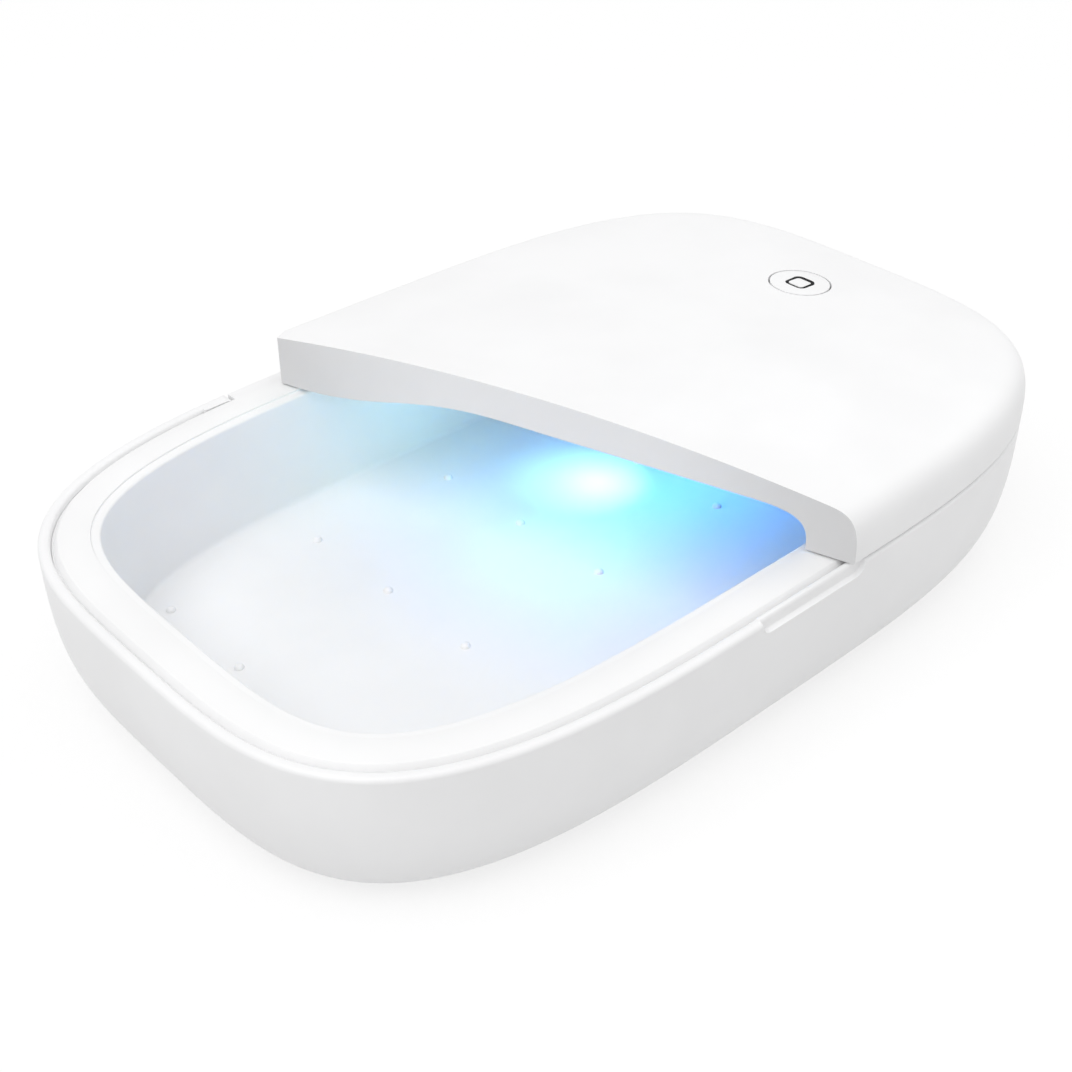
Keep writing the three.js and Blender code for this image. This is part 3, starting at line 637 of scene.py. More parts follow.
class Workpiece:
    """A closed mesh in the making; combining it with another uses the other one up."""

    def __init__(self, name: str, points: Any, faces: Sequence[Sequence[int]]) -> None:
        """Makes the mesh.

        Args:
            name: The object's name.
            points: Its corners.
            faces: The corner numbers of each face.
        """
        mesh = bpy.data.meshes.new(name)
        mesh.from_pydata(np.asarray(points, float).tolist(), [], [tuple(face) for face in faces])
        self.object = bpy.data.objects.new(name, mesh)
        bpy.context.scene.collection.objects.link(self.object)

    @staticmethod
    def skin(count: int, rings: int) -> list[Sequence[int]]:
        """Lists the faces between rings of points that are numbered one after another.

        Args:
            count: The points of each ring.
            rings: The number of rings.

        Returns:
            The corner numbers of each face.
        """
        steps = np.arange(count)
        after = np.roll(steps, -1)
        faces: list[Sequence[int]] = []
        for low in range(0, (rings - 1) * count, count):
            high = low + count
            faces.extend(np.column_stack([low + steps, low + after, high + after, high + steps]).tolist())
        return faces

    @classmethod
    def loft(cls, name: str, rings: Sequence[np.ndarray], peak: float | None = None) -> "Workpiece":
        """Skins rings of points and closes both ends with a fan round their middle.

        Args:
            name: The object's name.
            rings: Rings with the same number of points, listed along the skin.
            peak: The Z of the last end's middle, where it isn't flat.

        Returns:
            The closed mesh.
        """
        count = len(rings[0])
        steps = np.arange(count)
        after = np.roll(steps, -1)
        points = np.concatenate(rings)
        ends = [ring.mean(axis=0) * np.array([0, 0, 1]) for ring in (rings[0], rings[-1])]
        ends[0][2] = rings[0][0, 2]
        if peak is not None:
            ends[1][2] = peak
        first, last = len(points), len(points) + 1
        top = (len(rings) - 1) * count
        faces = cls.skin(count, len(rings))
        faces.extend(np.column_stack([np.full(count, first), after, steps]).tolist())
        faces.extend(np.column_stack([np.full(count, last), top + steps, top + after]).tolist())
        return cls(name, np.vstack([points, ends]), faces)

    @classmethod
    def stack(cls, name: str, rings: Sequence[np.ndarray]) -> "Workpiece":
        """Skins rings of points and closes each end with one flat face.

        Args:
            name: The object's name.
            rings: Rings with the same number of points, the lowest first.

        Returns:
            The closed mesh.
        """
        count = len(rings[0])
        last = (len(rings) - 1) * count
        faces = [tuple(reversed(range(count))), *cls.skin(count, len(rings)),
                 tuple(range(last, last + count))]
        return cls(name, np.concatenate(rings), faces)

    @classmethod
    def block(cls, low: Sequence[float], high: Sequence[float]) -> "Workpiece":
        """Makes a block.

        Args:
            low: Its lowest corner.
            high: Its highest corner.

        Returns:
            The closed mesh.
        """
        corners = [(x, y, z) for z in (low[2], high[2]) for y in (low[1], high[1])
                   for x in (low[0], high[0])]
        faces = [(0, 2, 3, 1), (4, 5, 7, 6), (0, 1, 5, 4), (2, 6, 7, 3), (0, 4, 6, 2), (1, 3, 7, 5)]
        return cls("block", corners, faces)

    @classmethod
    def turned(cls, profile: Sequence[tuple[float, float]], base: Sequence[float],
               axis: Sequence[float] = (0, 0, 1), sides: int = 48, name: str = "turned") -> "Workpiece":
        """Turns a profile round an axis.

        Args:
            profile: Pairs of a radius and a distance along the axis, the distances rising first.
            base: The point that the distances start from.
            axis: The axis.
            sides: How many sides stand for the circle.
            name: The object's name.

        Returns:
            The closed mesh.
        """
        angles = np.linspace(0, 2 * math.pi, sides, endpoint=False)
        circle = np.column_stack([np.cos(angles), np.sin(angles)])
        rings = [np.column_stack([circle * radius, np.full(sides, along)]) for radius, along in profile]
        piece = cls.loft(name, rings)
        turn = Vector((0, 0, 1)).rotation_difference(Vector(axis)).to_matrix().to_4x4()
        piece.object.data.transform(Matrix.Translation(Vector(base)) @ turn)
        return piece

    @classmethod
    def rod(cls, radius: float, start: Sequence[float], end: Sequence[float],
            sides: int = 48) -> "Workpiece":
        """Makes a round rod from one point to another."""
        run = Vector(end) - Vector(start)
        return cls.turned([(radius, 0), (radius, run.length)], start, run.normalized(), sides, "rod")

    @classmethod
    def post(cls, radius: float, x: float, y: float, low: float, high: float,
             sides: int = 48) -> "Workpiece":
        """Makes an upright round rod from one level to another."""
        return cls.rod(radius, (x, y, low), (x, y, high), sides)

    @classmethod
    def prism(cls, corners: np.ndarray, base: Sequence[float], depth: float,
              turn: Matrix = Matrix.Identity(4)) -> "Workpiece":
        """Extrudes a plan along Z, then turns and moves it.

        Args:
            corners: The plan's points, counter-clockwise.
            base: Where the plan's origin goes.
            depth: The height.
            turn: A rotation after the extrusion.

        Returns:
            The closed mesh.
        """
        rings = [np.column_stack([corners, np.full(len(corners), height)]) for height in (0.0, depth)]
        piece = cls.stack("prism", rings)
        piece.object.data.transform(Matrix.Translation(Vector(base)) @ turn)
        return piece

    def _modified(self, kind: str, **settings: Any) -> "Workpiece":
        """Changes the mesh by one modifier.

        Args:
            kind: The modifier's type.
            settings: Its properties.

        Returns:
            This workpiece.
        """
        modifier = self.object.modifiers.new(kind.lower(), kind)
        for key, setting in settings.items():
            setattr(modifier, key, setting)
        graph = bpy.context.evaluated_depsgraph_get()
        made = bpy.data.meshes.new_from_object(self.object.evaluated_get(graph))
        self.object.modifiers.clear()
        old = self.object.data
        self.object.data = made
        bpy.data.meshes.remove(old)
        return self

    def _combined(self, other: "Workpiece", how: Cut) -> "Workpiece":
        """Combines the two meshes in this one.

        Args:
            other: The mesh that is used up.
            how: Join, remove or keep what is common.

        Returns:
            This workpiece.
        """
        self._modified("BOOLEAN", operation=how.value, solver="MANIFOLD", object=other.object)
        used = other.object.data
        bpy.data.objects.remove(other.object)
        bpy.data.meshes.remove(used)
        if not len(self.object.data.polygons):
            raise ValueError(f"nothing is left of {self.object.name} after {how.name}")
        return self

    def __add__(self, other: "Workpiece") -> "Workpiece":
        """Joins the other on."""
        return self._combined(other, Cut.JOIN)

    def __sub__(self, other: "Workpiece") -> "Workpiece":
        """Cuts the other out."""
        return self._combined(other, Cut.REMOVE)

    def __and__(self, other: "Workpiece") -> "Workpiece":
        """Keeps what both hold."""
        return self._combined(other, Cut.KEEP)

    def softened(self, width: float, angle: float, segments: int) -> "Workpiece":
        """Rounds the edges that turn by more than an angle in radians, with some faces across."""
        return self._modified("BEVEL", width=width, segments=segments, limit_method="ANGLE",
                              angle_limit=angle)

    def finished(self, name: str, body: str, slot: str, *materials: bpy.types.Material,
                 replaces: str | None = None) -> bpy.types.Object:
        """Dresses the piece and hands it to its body.

        Args:
            name: The piece's name.
            body: The body that it moves with.
            slot: Not used.
            materials: Its materials, the main one first.
            replaces: The node that it stands for.

        Returns:
            The finished object.
        """
        mesh = self.object.data
        mesh.materials.clear()
        for material in materials:
            mesh.materials.append(material)
        mesh.shade_smooth()
        mesh.set_sharp_from_angle(angle=SHARP_EDGE)
        self.object.name = name
        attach(self.object, body)
        if replaces:
            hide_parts(replaces)
        return self.object


@dataclass
class Plan:
    """The sizes that the tub, the tray and the lid share."""

    half_length: float = 99 * MM
    half_width: float = 65.1 * MM
    power: float = 3.6
    rim: float = 31.55 * MM
    wall: float = 2.3 * MM
    seam_gap: float = 0.5 * MM
    clearance: float = 0.3 * MM
    far: float = 300 * MM
    overrun: float = 2 * MM

    @property
    def seam(self) -> float:
        """The level of the lid's lower edge."""
        return self.rim + self.seam_gap

    def outline(self, spacing: float = 1.5 * MM, closer: Iterable[tuple[float, float]] = ()) -> Outline:
        """Makes the outline with points at a spacing, and closer ones on stretches of the front."""
        return Outline(self.half_length, self.half_width, self.power, spacing, closer)


@dataclass
class Hinge:
    """The hinge that the lid turns on."""

    plan: Plan
    width: float = 73 * MM
    radius: float = 2 * MM
    drop: float = 3 * MM
    post: float = 7.5 * MM
    shelf: float = 2.4 * MM
    pin_radius: float = 0.9 * MM
    pin_reach: float = 5 * MM
    pin_bevel: float = 0.2 * MM
    corner_round: float = 2 * MM

    @property
    def y(self) -> float:
        """The Y of the hinge line."""
        return self.plan.half_width - self.radius

    @property
    def z(self) -> float:
        """The Z of the hinge line."""
        return self.plan.rim - self.drop

    @property
    def back(self) -> float:
        """The Y of the recess's inner wall."""
        return self.y - self.radius - self.plan.clearance

    @property
    def floor(self) -> float:
        """The Z of the recess's floor."""
        return self.z - self.radius - self.plan.clearance

    def rod(self, radius: float, start: float, end: float, sides: int) -> Workpiece:
        """Makes a rod on the hinge line, from X to X."""
        return Workpiece.rod(radius, (start, self.y, self.z), (end, self.y, self.z), sides)

    def pins(self, finish: bpy.types.Material) -> None:
        """Makes the two steel pins, with chamfered ends.

        Args:
            finish: Their material.
        """
        radius, bevel, length = self.pin_radius, self.pin_bevel, 2 * self.pin_reach
        profile = [(radius - bevel, 0), (radius, bevel), (radius, length - bevel), (radius - bevel, length)]
        for side, name in ((-1, "left"), (1, "right")):
            start = side * self.width / 2 - self.pin_reach
            pin = Workpiece.turned(profile, (start, self.y, self.z), (1, 0, 0), PIN_SIDES)
            pin.finished(f"steel_pin_{name}", "base", "bright_steel", finish, replaces=f"hinge_pin_{name}")


@dataclass
class Screw:
    """A small cross-slotted screw that points up."""

    length: float
    head_radius: float = 1.9 * MM
    head_height: float = 1 * MM
    head_bevel: float = 0.35 * MM
    radius: float = 1 * MM
    turns: int = 9
    root_share: float = 0.84
    root_and_crest: tuple[float, float] = (0.3, 0.8)
    slot_border: float = 0.7 * MM
    slot_half_width: float = 0.28 * MM
    slot_depth: float = 0.6 * MM

    def build(self, base: Sequence[float], body: str, node: str, finish: bpy.types.Material) -> None:
        """Builds the screw in place of a node.

        Args:
            base: The middle of its head's slotted face.
            body: The body that it moves with.
            node: The node that it stands for.
            finish: Its material.
        """
        tip = self.radius / 2
        profile = [(self.head_radius - self.head_bevel, 0), (self.head_radius, self.head_bevel),
                   (self.head_radius, self.head_height), (self.radius, self.head_height)]
        pitch = (self.length - tip) / self.turns
        for turn in range(self.turns):
            start = self.head_height + turn * pitch
            root, crest = (start + pitch * share for share in self.root_and_crest)
            profile += [(self.radius * self.root_share, root), (self.radius, crest)]
        profile += [(tip, self.head_height + self.length)]
        piece = Workpiece.turned(profile, base, sides=HOLE_SIDES)
        arm, half, depth = self.head_radius - self.slot_border, self.slot_half_width, self.slot_depth
        for reach_x, reach_y in ((arm, half), (half, arm)):
            piece -= Workpiece.block((base[0] - reach_x, base[1] - reach_y, base[2] - depth),
                                     (base[0] + reach_x, base[1] + reach_y, base[2] + depth))
        piece.finished(f"cross_{node}", body, "bright_steel", finish, replaces=node)


@dataclass
class Foot:
    """A round rubber foot, dished underneath."""

    radius: float = 6 * MM
    thickness: float = 1.6 * MM
    edge: float = 0.4 * MM
    top_bevel: float = 0.15 * MM
    edge_steps: int = 4
    dish: tuple[tuple[float, float], ...] = ((1.2 * MM, 0.25 * MM), (3.6 * MM, 0.25 * MM), (3.9 * MM, 0))

    def build(self, place: str, x: float, y: float, finish: bpy.types.Material) -> None:
        """Builds the foot in place of its node.

        Args:
            place: The corner of the box that it is at.
            x: The X of its middle.
            y: The Y of its middle.
            finish: Its material.
        """
        profile = [*self.dish]
        profile += [(self.radius - self.edge + self.edge * math.sin(angle),
                     self.edge - self.edge * math.cos(angle)) for angle in arc(self.edge_steps)]
        profile += [(self.radius, self.thickness - self.top_bevel),
                    (self.radius - self.top_bevel, self.thickness)]
        foot = Workpiece.turned(profile, (x, y, 0), sides=72)
        foot.finished(f"rubber_foot_{place}", "base", "dark_rubber", finish, replaces=f"foot_{place}")


@dataclass
class Tub:
    """The outer shell of the base."""

    plan: Plan
    hinge: Hinge
    bottom: float = 1 * MM
    flare: float = 13.8 * MM
    power: float = 3.1
    floor: float = 2.4 * MM
    rim_round: float = 0.9 * MM
    inner_round: float = 0.8 * MM
    inner_foot: float = 3 * MM
    notch_width: float = 27.8 * MM
    notch_middle: float = 1.2 * MM
    notch_depth: float = 2.7 * MM
    notch_setback: float = 1 * MM
    notch_round: float = 2.2 * MM
    notch_blend: float = 0.2 * MM
    recess_round: float = 0.3 * MM
    pin_fit: float = 0.2 * MM
    inlet: tuple[float, float, float] = (9.5 * MM, 3.9 * MM, 1.8 * MM)
    inlet_rise: float = 11.5 * MM
    inlet_y: float = 57.7 * MM
    foot_x: float = 62 * MM
    foot_y: float = 31 * MM
    foot_holes: tuple[tuple[float, float], ...] = (
        (6.3 * MM, 1.9 * MM), (2.2 * MM, 3.2 * MM), (1.3 * MM, 5.5 * MM))
    screw_level: float = 1.9 * MM
    screw_length: float = 3.6 * MM
    spacing: float = 1.6 * MM
    notch_spacing: float = 0.14 * MM
    wall_steps: int = 44
    rim_steps: int = 6
    inner_steps: int = 3
    inner_shares: tuple[float, float, int] = (0.1, 0.93, 14)
    seat_fit: float = 0.01 * MM
    outline: Outline = field(init=False)

    def __post_init__(self) -> None:
        """Spaces the outline's points, closer at the ends of the thumb notch."""
        half = self.notch_width / 2
        margin = self.notch_round + 4 * self.notch_blend
        ends = [(self.notch_middle + side * half - margin, self.notch_middle + side * half + margin)
                for side in (-1, 1)]
        self.outline = self.plan.outline(self.spacing, ends)

    @property
    def depth(self) -> float:
        """The height from the bottom to the rim."""
        return self.plan.rim - self.bottom

    def feet(self) -> list[tuple[str, float, float]]:
        """Lists the feet with their places."""
        return [(f"{row}_{side}", x * self.foot_x, y * self.foot_y)
                for row, y in (("front", -1), ("rear", 1)) for side, x in (("left", -1), ("right", 1))]

    def notched(self, inset: float, height: float) -> np.ndarray:
        """Makes a ring that steps back inside the thumb notch.

        Args:
            inset: How far the ring is inside the outline.
            height: Its Z.

        Returns:
            The ring's points.
        """
        points = self.outline.points
        reach_x = np.abs(points[:, 0] - self.notch_middle) - (self.notch_width / 2 - self.notch_round)
        reach_z = self.plan.rim - self.notch_depth + self.notch_round - height
        outside = np.hypot(np.maximum(reach_x, 0), max(reach_z, 0)) - self.notch_round
        inside = np.minimum(np.maximum(reach_x, reach_z), 0)
        share = np.clip((self.notch_blend - outside - inside) / (2 * self.notch_blend), 0, 1)
        share = share * share * (3 - 2 * share) * (points[:, 1] < 0)
        fade = max(0.0, 1 - inset / self.plan.wall)
        return self.outline.ring(inset + self.notch_setback * share * fade, height)

    def outer_rings(self, grow: float = 0.0) -> list[np.ndarray]:
        """Lists the rings of the outer skin from the bottom up to the rim's flat top.

        Args:
            grow: How far the skin is moved outwards.

        Returns:
            The rings.
        """
        wall_shares, _ = drawn_in(arc(self.wall_steps), self.flare, self.power)
        notch_reach = (self.notch_depth + 4 * self.notch_blend) / self.depth
        notch_shares = np.arange(self.rim_round / self.depth, notch_reach, self.notch_spacing / self.depth)
        shares = np.concatenate([wall_shares[wall_shares > notch_reach + 0.01], notch_shares])
        rings = []
        for share in np.sort(shares)[::-1]:
            inset = self.flare * bent_in(share, self.power)
            rings.append(self.notched(inset - grow, self.plan.rim - self.depth * share))
        for angle in arc(self.rim_steps)[1:]:
            inset = self.rim_round * (1 - math.cos(angle))
            height = self.plan.rim - self.rim_round * (1 - math.sin(angle))
            rings.append(self.notched(inset - grow, height))
        return rings

    def skin(self) -> Workpiece:
        """Makes the plain tub, before its openings are cut.

        Returns:
            The closed mesh.
        """
        rings = self.outer_rings()
        rim, wall = self.plan.rim, self.plan.wall
        for angle in arc(self.inner_steps):
            inset = wall - self.inner_round * (1 - math.sin(angle))
            rings.append(self.notched(inset, rim - self.inner_round * (1 - math.cos(angle))))
        lowest = (rim - self.bottom - self.floor) / self.depth
        for share in np.linspace(*self.inner_shares) * lowest:
            inset = self.flare * bent_in(share, self.power) + wall
            rings.append(self.outline.ring(inset, rim - self.depth * share))
        foot = self.flare * bent_in(lowest, self.power) + wall
        rings.append(self.outline.ring(foot + self.inner_foot, self.bottom + self.floor))
        return Workpiece.loft("tub_shell", rings)

    def hinge_seat(self) -> Workpiece:
        """Makes the block that carries the hinge pins, a hair inside the skin.

        Returns:
            The closed mesh.
        """
        hinge = self.hinge
        end = hinge.width / 2 + hinge.post
        seat = Workpiece.block((-end, hinge.back + self.plan.clearance, hinge.floor - hinge.shelf),
                               (end, self.plan.far, self.plan.rim + self.plan.overrun))
        return seat & Workpiece.loft("hull", self.outer_rings(-self.seat_fit))

    def opening(self, width: float, tall: float, radius: float, steps: int, middle: float,
                y: float) -> Workpiece:
        """Makes a round-cornered opening through the rear wall.

        Args:
            width: Its size along X.
            tall: Its size along Z.
            radius: The radius of its corners.
            steps: The steps round each corner.
            middle: The Z of its middle.
            y: Where it starts; it runs out to the rear.

        Returns:
            The closed mesh.
        """
        lying = Matrix.Rotation(math.pi / 2, 4, "X")
        far = self.plan.far
        return Workpiece.prism(rounded_plan(width, tall, radius, steps), (0, far, middle), far - y, lying)

    def build(self, finishes: Finishes) -> None:
        """Builds the tub, its feet and the screws above them.

        Args:
            finishes: The finishes to dress them with.
        """
        plan, hinge = self.plan, self.hinge
        shell = self.skin() + self.hinge_seat()
        tall = plan.rim - hinge.floor + plan.overrun
        shell -= self.opening(hinge.width, tall, self.recess_round, 3, hinge.floor + tall / 2, hinge.back)
        radius = hinge.corner_round
        for side in (-1, 1):
            middle = side * (hinge.width / 2 + radius)
            low, high = sorted((middle, side * (hinge.width / 2 - radius)))
            corner = Workpiece.block((low, hinge.back, plan.rim - radius),
                                     (high, plan.far, plan.rim + plan.overrun))
            shell -= corner - Workpiece.rod(radius, (middle, 0, plan.rim - radius),
                                            (middle, 2 * plan.far, plan.rim - radius), SEAT_SIDES)
            shell -= hinge.rod(hinge.pin_radius + self.pin_fit, side * (hinge.width / 2 - plan.overrun),
                               side * (hinge.width / 2 + hinge.pin_reach + plan.clearance), PIN_SIDES)
        shell -= self.opening(*self.inlet, 8, self.inlet_rise, self.inlet_y)
        for _, x, y in self.feet():
            for radius, top in self.foot_holes:
                shell -= Workpiece.post(radius, x, y, -plan.overrun, top, SEAT_SIDES)
        shell.finished("tub_shell", "base", "white_shell", finishes.shell, replaces="base_shell")
        for place, x, y in self.feet():
            Foot().build(place, x, y, finishes.rubber)
            Screw(self.screw_length).build((x, y, self.screw_level), "base", f"case_screw_{place}",
                                           finishes.steel)


@dataclass
class Tray:
    """The drop-in tray with its lip, walls, floor and small nubs."""

    plan: Plan
    hinge: Hinge
    lip_inset: float = 2.7 * MM
    bevel_width: float = 0.95 * MM
    bevel_height: float = 1.2 * MM
    bevel_lean: float = 0.05 * MM
    bevel_shoulder: tuple[float, float] = (0.08 * MM, 0.13 * MM)
    edge_run: float = 0.1 * MM
    edge_drop: float = 0.04 * MM
    lip_width: float = 5.95 * MM
    inner_round: float = 1.9 * MM
    inner_step: tuple[float, float] = (0.08 * MM, 0.4 * MM)
    band_drop: float = 0.5 * MM
    corner_round: float = 0.55 * MM
    corner_steps: int = 6
    lip_thickness: float = 2 * MM
    groove_depth: float = 1.35 * MM
    groove_fit: float = 0.08 * MM
    skirt_depth: float = 5 * MM
    skirt_wall: float = 1.5 * MM
    depth: float = 24 * MM
    draft: float = 2.6 * MM
    draft_shares: tuple[float, ...] = (0.02, 0.25, 0.5, 0.75, 0.98)
    fillet: float = 1.2 * MM
    fillet_steps: int = 8
    wall: float = 1.6 * MM
    nub_radius: float = 1 * MM
    nub_height: float = 0.9 * MM
    nub_top_share: float = 0.04
    nub_steps: int = 8
    nub_pitch: tuple[float, float] = (35.75 * MM, 24 * MM)
    nub_counts: tuple[int, int] = (5, 4)
    post_radius: float = 2.3 * MM
    post_low: float = 3.7 * MM
    hole_radius: float = 1.2 * MM
    hole_top: float = 6.8 * MM

    def profile(self) -> list[tuple[float, float]]:
        """Lists the inset and height of every ring, from under the floor round to its top.

        Returns:
            The pairs.
        """
        rim = self.plan.rim
        flat = self.lip_inset + self.bevel_width
        band = flat + self.lip_width
        head = band + self.inner_round
        foot = head + self.draft
        floor = rim - self.depth
        inner = self.lip_inset + self.skirt_wall
        outer = self.plan.wall + self.groove_fit
        made = [(foot + self.fillet - self.wall / 2, floor - self.wall),
                (foot - self.wall, floor + self.fillet / 2),
                (head - self.wall, rim - self.lip_thickness),
                (inner, rim - self.lip_thickness),
                (inner, rim - self.skirt_depth),
                (outer, rim - self.skirt_depth),
                (outer, rim - self.groove_depth),
                (self.lip_inset, rim - self.groove_depth),
                (self.lip_inset + self.bevel_lean, rim - self.bevel_height),
                (flat - self.bevel_shoulder[0], rim - self.bevel_shoulder[1]),
                (flat, rim - self.edge_drop),
                (flat + self.edge_run, rim),
                (band - self.edge_run, rim),
                (band, rim - self.edge_drop),
                (band + self.inner_step[0], rim - self.inner_step[1])]
        corner, drop = self.corner_round, self.band_drop
        made += [(head - corner * (1 - math.sin(angle)),
                  rim - drop - corner * (1 - math.cos(angle))) for angle in arc(self.corner_steps)]
        top = rim - drop - corner
        made += [(head + self.draft * share, top + (floor + self.fillet - top) * share)
                 for share in self.draft_shares]
        made += [(foot + self.fillet * (1 - math.cos(angle)),
                  floor + self.fillet * (1 - math.sin(angle))) for angle in arc(self.fillet_steps)]
        return made

    def build(self, tub: Tub, finish: bpy.types.Material) -> None:
        """Builds the tray.

        Args:
            tub: The tub that it drops into.
            finish: Its material.
        """
        plan, hinge = self.plan, self.hinge
        outline = plan.outline()
        tray = Workpiece.loft("tray", [outline.ring(inset, height) for inset, height in self.profile()])
        end = hinge.width / 2 + hinge.post + plan.clearance
        tray += Workpiece.block((-end, hinge.back - self.skirt_wall, hinge.floor - hinge.shelf),
                                (end, hinge.back + self.skirt_wall, plan.rim - self.lip_thickness / 2))
        tray -= Workpiece.block((-end, hinge.back, plan.rim - self.skirt_depth - 3 * plan.overrun),
                                (end, plan.far, plan.rim + plan.overrun))
        floor = plan.rim - self.depth
        sunk = -self.wall / 2
        for _, x, y in tub.feet():
            post = Workpiece.post(self.post_radius, x, y, self.post_low, floor + sunk, PIN_SIDES)
            tray += post - Workpiece.post(self.hole_radius, x, y, 0, self.hole_top, HOLE_SIDES)
        dome = [(self.nub_radius, sunk), (self.nub_radius, 0)]
        dome += [(self.nub_radius * math.cos(angle), self.nub_height * math.sin(angle))
                 for angle in arc(self.nub_steps)[1:-1]]
        dome += [(self.nub_radius * self.nub_top_share, self.nub_height)]
        columns, rows = self.nub_counts
        for column in range(columns):
            for row in range(rows):
                x = (column - (columns - 1) / 2) * self.nub_pitch[0]
                y = (row - (rows - 1) / 2) * self.nub_pitch[1]
                tray += Workpiece.turned(dome, (x, y, floor), sides=PIN_SIDES)
        tray.finished("tray", "base", "white_tray", finish, replaces="chamber_tray")


@dataclass
class Section:
    """The upright plane that the lid is cut by, and the short one that turns back at its far end."""

    plan: Plan
    middle: float = -7.95 * MM
    angle: float = math.radians(16.9)
    return_inset: float = 5.9 * MM
    return_angle: float = math.radians(-55)
    cover: float = 1.2 * MM
    alike: float = 0.999

    def planes(self) -> list[tuple[float, float, float]]:
        """Lists the X, Y and angle of the two planes."""
        y = self.plan.half_width - self.return_inset
        return [(self.middle, 0.0, self.angle),
                (self.middle - math.tan(self.angle) * y, y, self.return_angle)]

    def faces(self, normal: Vector) -> bool:
        """Tells whether a face with this normal belongs to the cut."""
        return any(normal.dot(Vector((-math.cos(angle), -math.sin(angle), 0))) > self.alike
                   for _, _, angle in self.planes())

    def beyond(self, setback: float, low: float) -> Workpiece:
        """Makes everything on the cut-away side.

        Args:
            setback: How far the planes are moved into the lid.
            low: The lowest Z.

        Returns:
            The closed mesh.
        """
        far = 2 * self.plan.far
        sides = []
        for x, y, angle in self.planes():
            side = Workpiece.block((setback - far, -far, 0), (setback, far, far))
            side.object.data.transform(Matrix.Translation((x, y, low)) @ Matrix.Rotation(angle, 4, "Z"))
            sides.append(side)
        return sides[0] + sides[1]


@dataclass
class LidForm:
    """The outer and inner forms of the lid, shared by its shell, liner and section."""

    plan: Plan
    rise: float = 10.4 * MM
    crown: float = 5 * MM
    flare: float = 6.8 * MM
    power: float = 3.6
    wall: float = 2.2 * MM
    seam_round: float = 0.4 * MM
    liner_edge: float = 9.2 * MM
    liner_wall: float = 1.2 * MM
    cavity_height: float = 7.8 * MM
    cavity_ramp: float = 12 * MM
    cavity_power: float = 3.5
    cavity_rear: float = 0.6
    cavity_rear_power: float = 0.5
    cavity_crest: float = 0.35
    cavity_starts: tuple[float, ...] = (0.005, 0.015, 0.03, 0.05, 0.075)
    seam_steps: int = 4
    side_steps: int = 40
    side_start: float = 0.6 * MM
    crown_steps: int = 30
    cavity_steps: int = 24
    outline: Outline = field(init=False)

    def __post_init__(self) -> None:
        """Spaces the outline's points."""
        self.outline = self.plan.outline()

    def crown_rise(self, inset: float) -> float:
        """Gives the height that the crown adds at a distance from the outline."""
        return self.crown * (1 - (1 - inset / self.plan.half_width) ** 2)

    def top_at(self, x: float) -> float:
        """Gives the Z of the lid's top on the long middle line of the box.

        Args:
            x: The place along the line.

        Returns:
            The Z.
        """
        share = abs(x) / (self.plan.half_length - self.flare)
        inset = self.flare + (1 - share) * (self.plan.half_width - self.flare)
        return self.plan.rim + self.rise + self.crown_rise(inset)

    @property
    def roof(self) -> float:
        """The Z of the top of the space under the liner."""
        return self.plan.rim + self.cavity_height

    def dome(self, wall: float = 0.0) -> Workpiece:
        """Makes the lid's outer form, or its inner form behind a wall.

        Args:
            wall: The thickness of the wall.

        Returns:
            The closed mesh.
        """
        plan, rings = self.plan, []
        if wall:
            rings.append(self.outline.ring(wall, plan.seam - plan.overrun))
        else:
            rings += [self.outline.ring(self.seam_round * (1 - math.sin(angle)),
                                        plan.seam + self.seam_round * (1 - math.cos(angle)))
                      for angle in arc(self.seam_steps)]
        shares, insets = drawn_in(arc(self.side_steps), self.flare, self.power)
        for share, inset in zip(shares, insets):
            height = plan.rim + self.rise * share + self.crown_rise(inset) - wall
            if height > plan.seam + self.side_start:
                rings.append(self.outline.ring(inset + wall, height))
        for share in np.linspace(1, 0, self.crown_steps)[1:-1]:
            depth = self.flare + (1 - share) * (plan.half_width - self.flare)
            height = plan.rim + self.rise + self.crown_rise(depth) - wall
            rings.append(self.outline.shrunk(self.flare, share, height))
        return Workpiece.loft("dome", rings, plan.rim + self.rise + self.crown - wall)

    def cavity_profile(self, grow: float) -> list[tuple[float, float, float]]:
        """Lists the inset, height and rear share of the rings over the chamber.

        Args:
            grow: How far the form is moved outwards.

        Returns:
            The rings' values, the lowest first.
        """
        shares, _ = drawn_in(arc(self.cavity_steps), self.cavity_ramp, self.cavity_power)
        made = []
        for share in np.union1d(np.clip(shares, 0, 1), self.cavity_starts):
            bend = bent_in(share, self.cavity_power)
            height = self.plan.seam + (self.cavity_height - self.plan.seam_gap) * share
            rear = self.cavity_rear * share ** self.cavity_rear_power + self.cavity_crest * bend
            made.append((self.liner_edge + self.cavity_ramp * bend - grow, height + grow, rear))
        return made

    def cavity(self) -> Workpiece:
        """Makes the space under the liner as a solid, run on below the seam.

        Returns:
            The closed mesh.
        """
        rings = [self.outline.ring(self.liner_edge, self.plan.seam - self.plan.overrun)]
        rings += [self.outline.ring(*values) for values in self.cavity_profile(0.0)]
        return Workpiece.loft("cavity", rings)


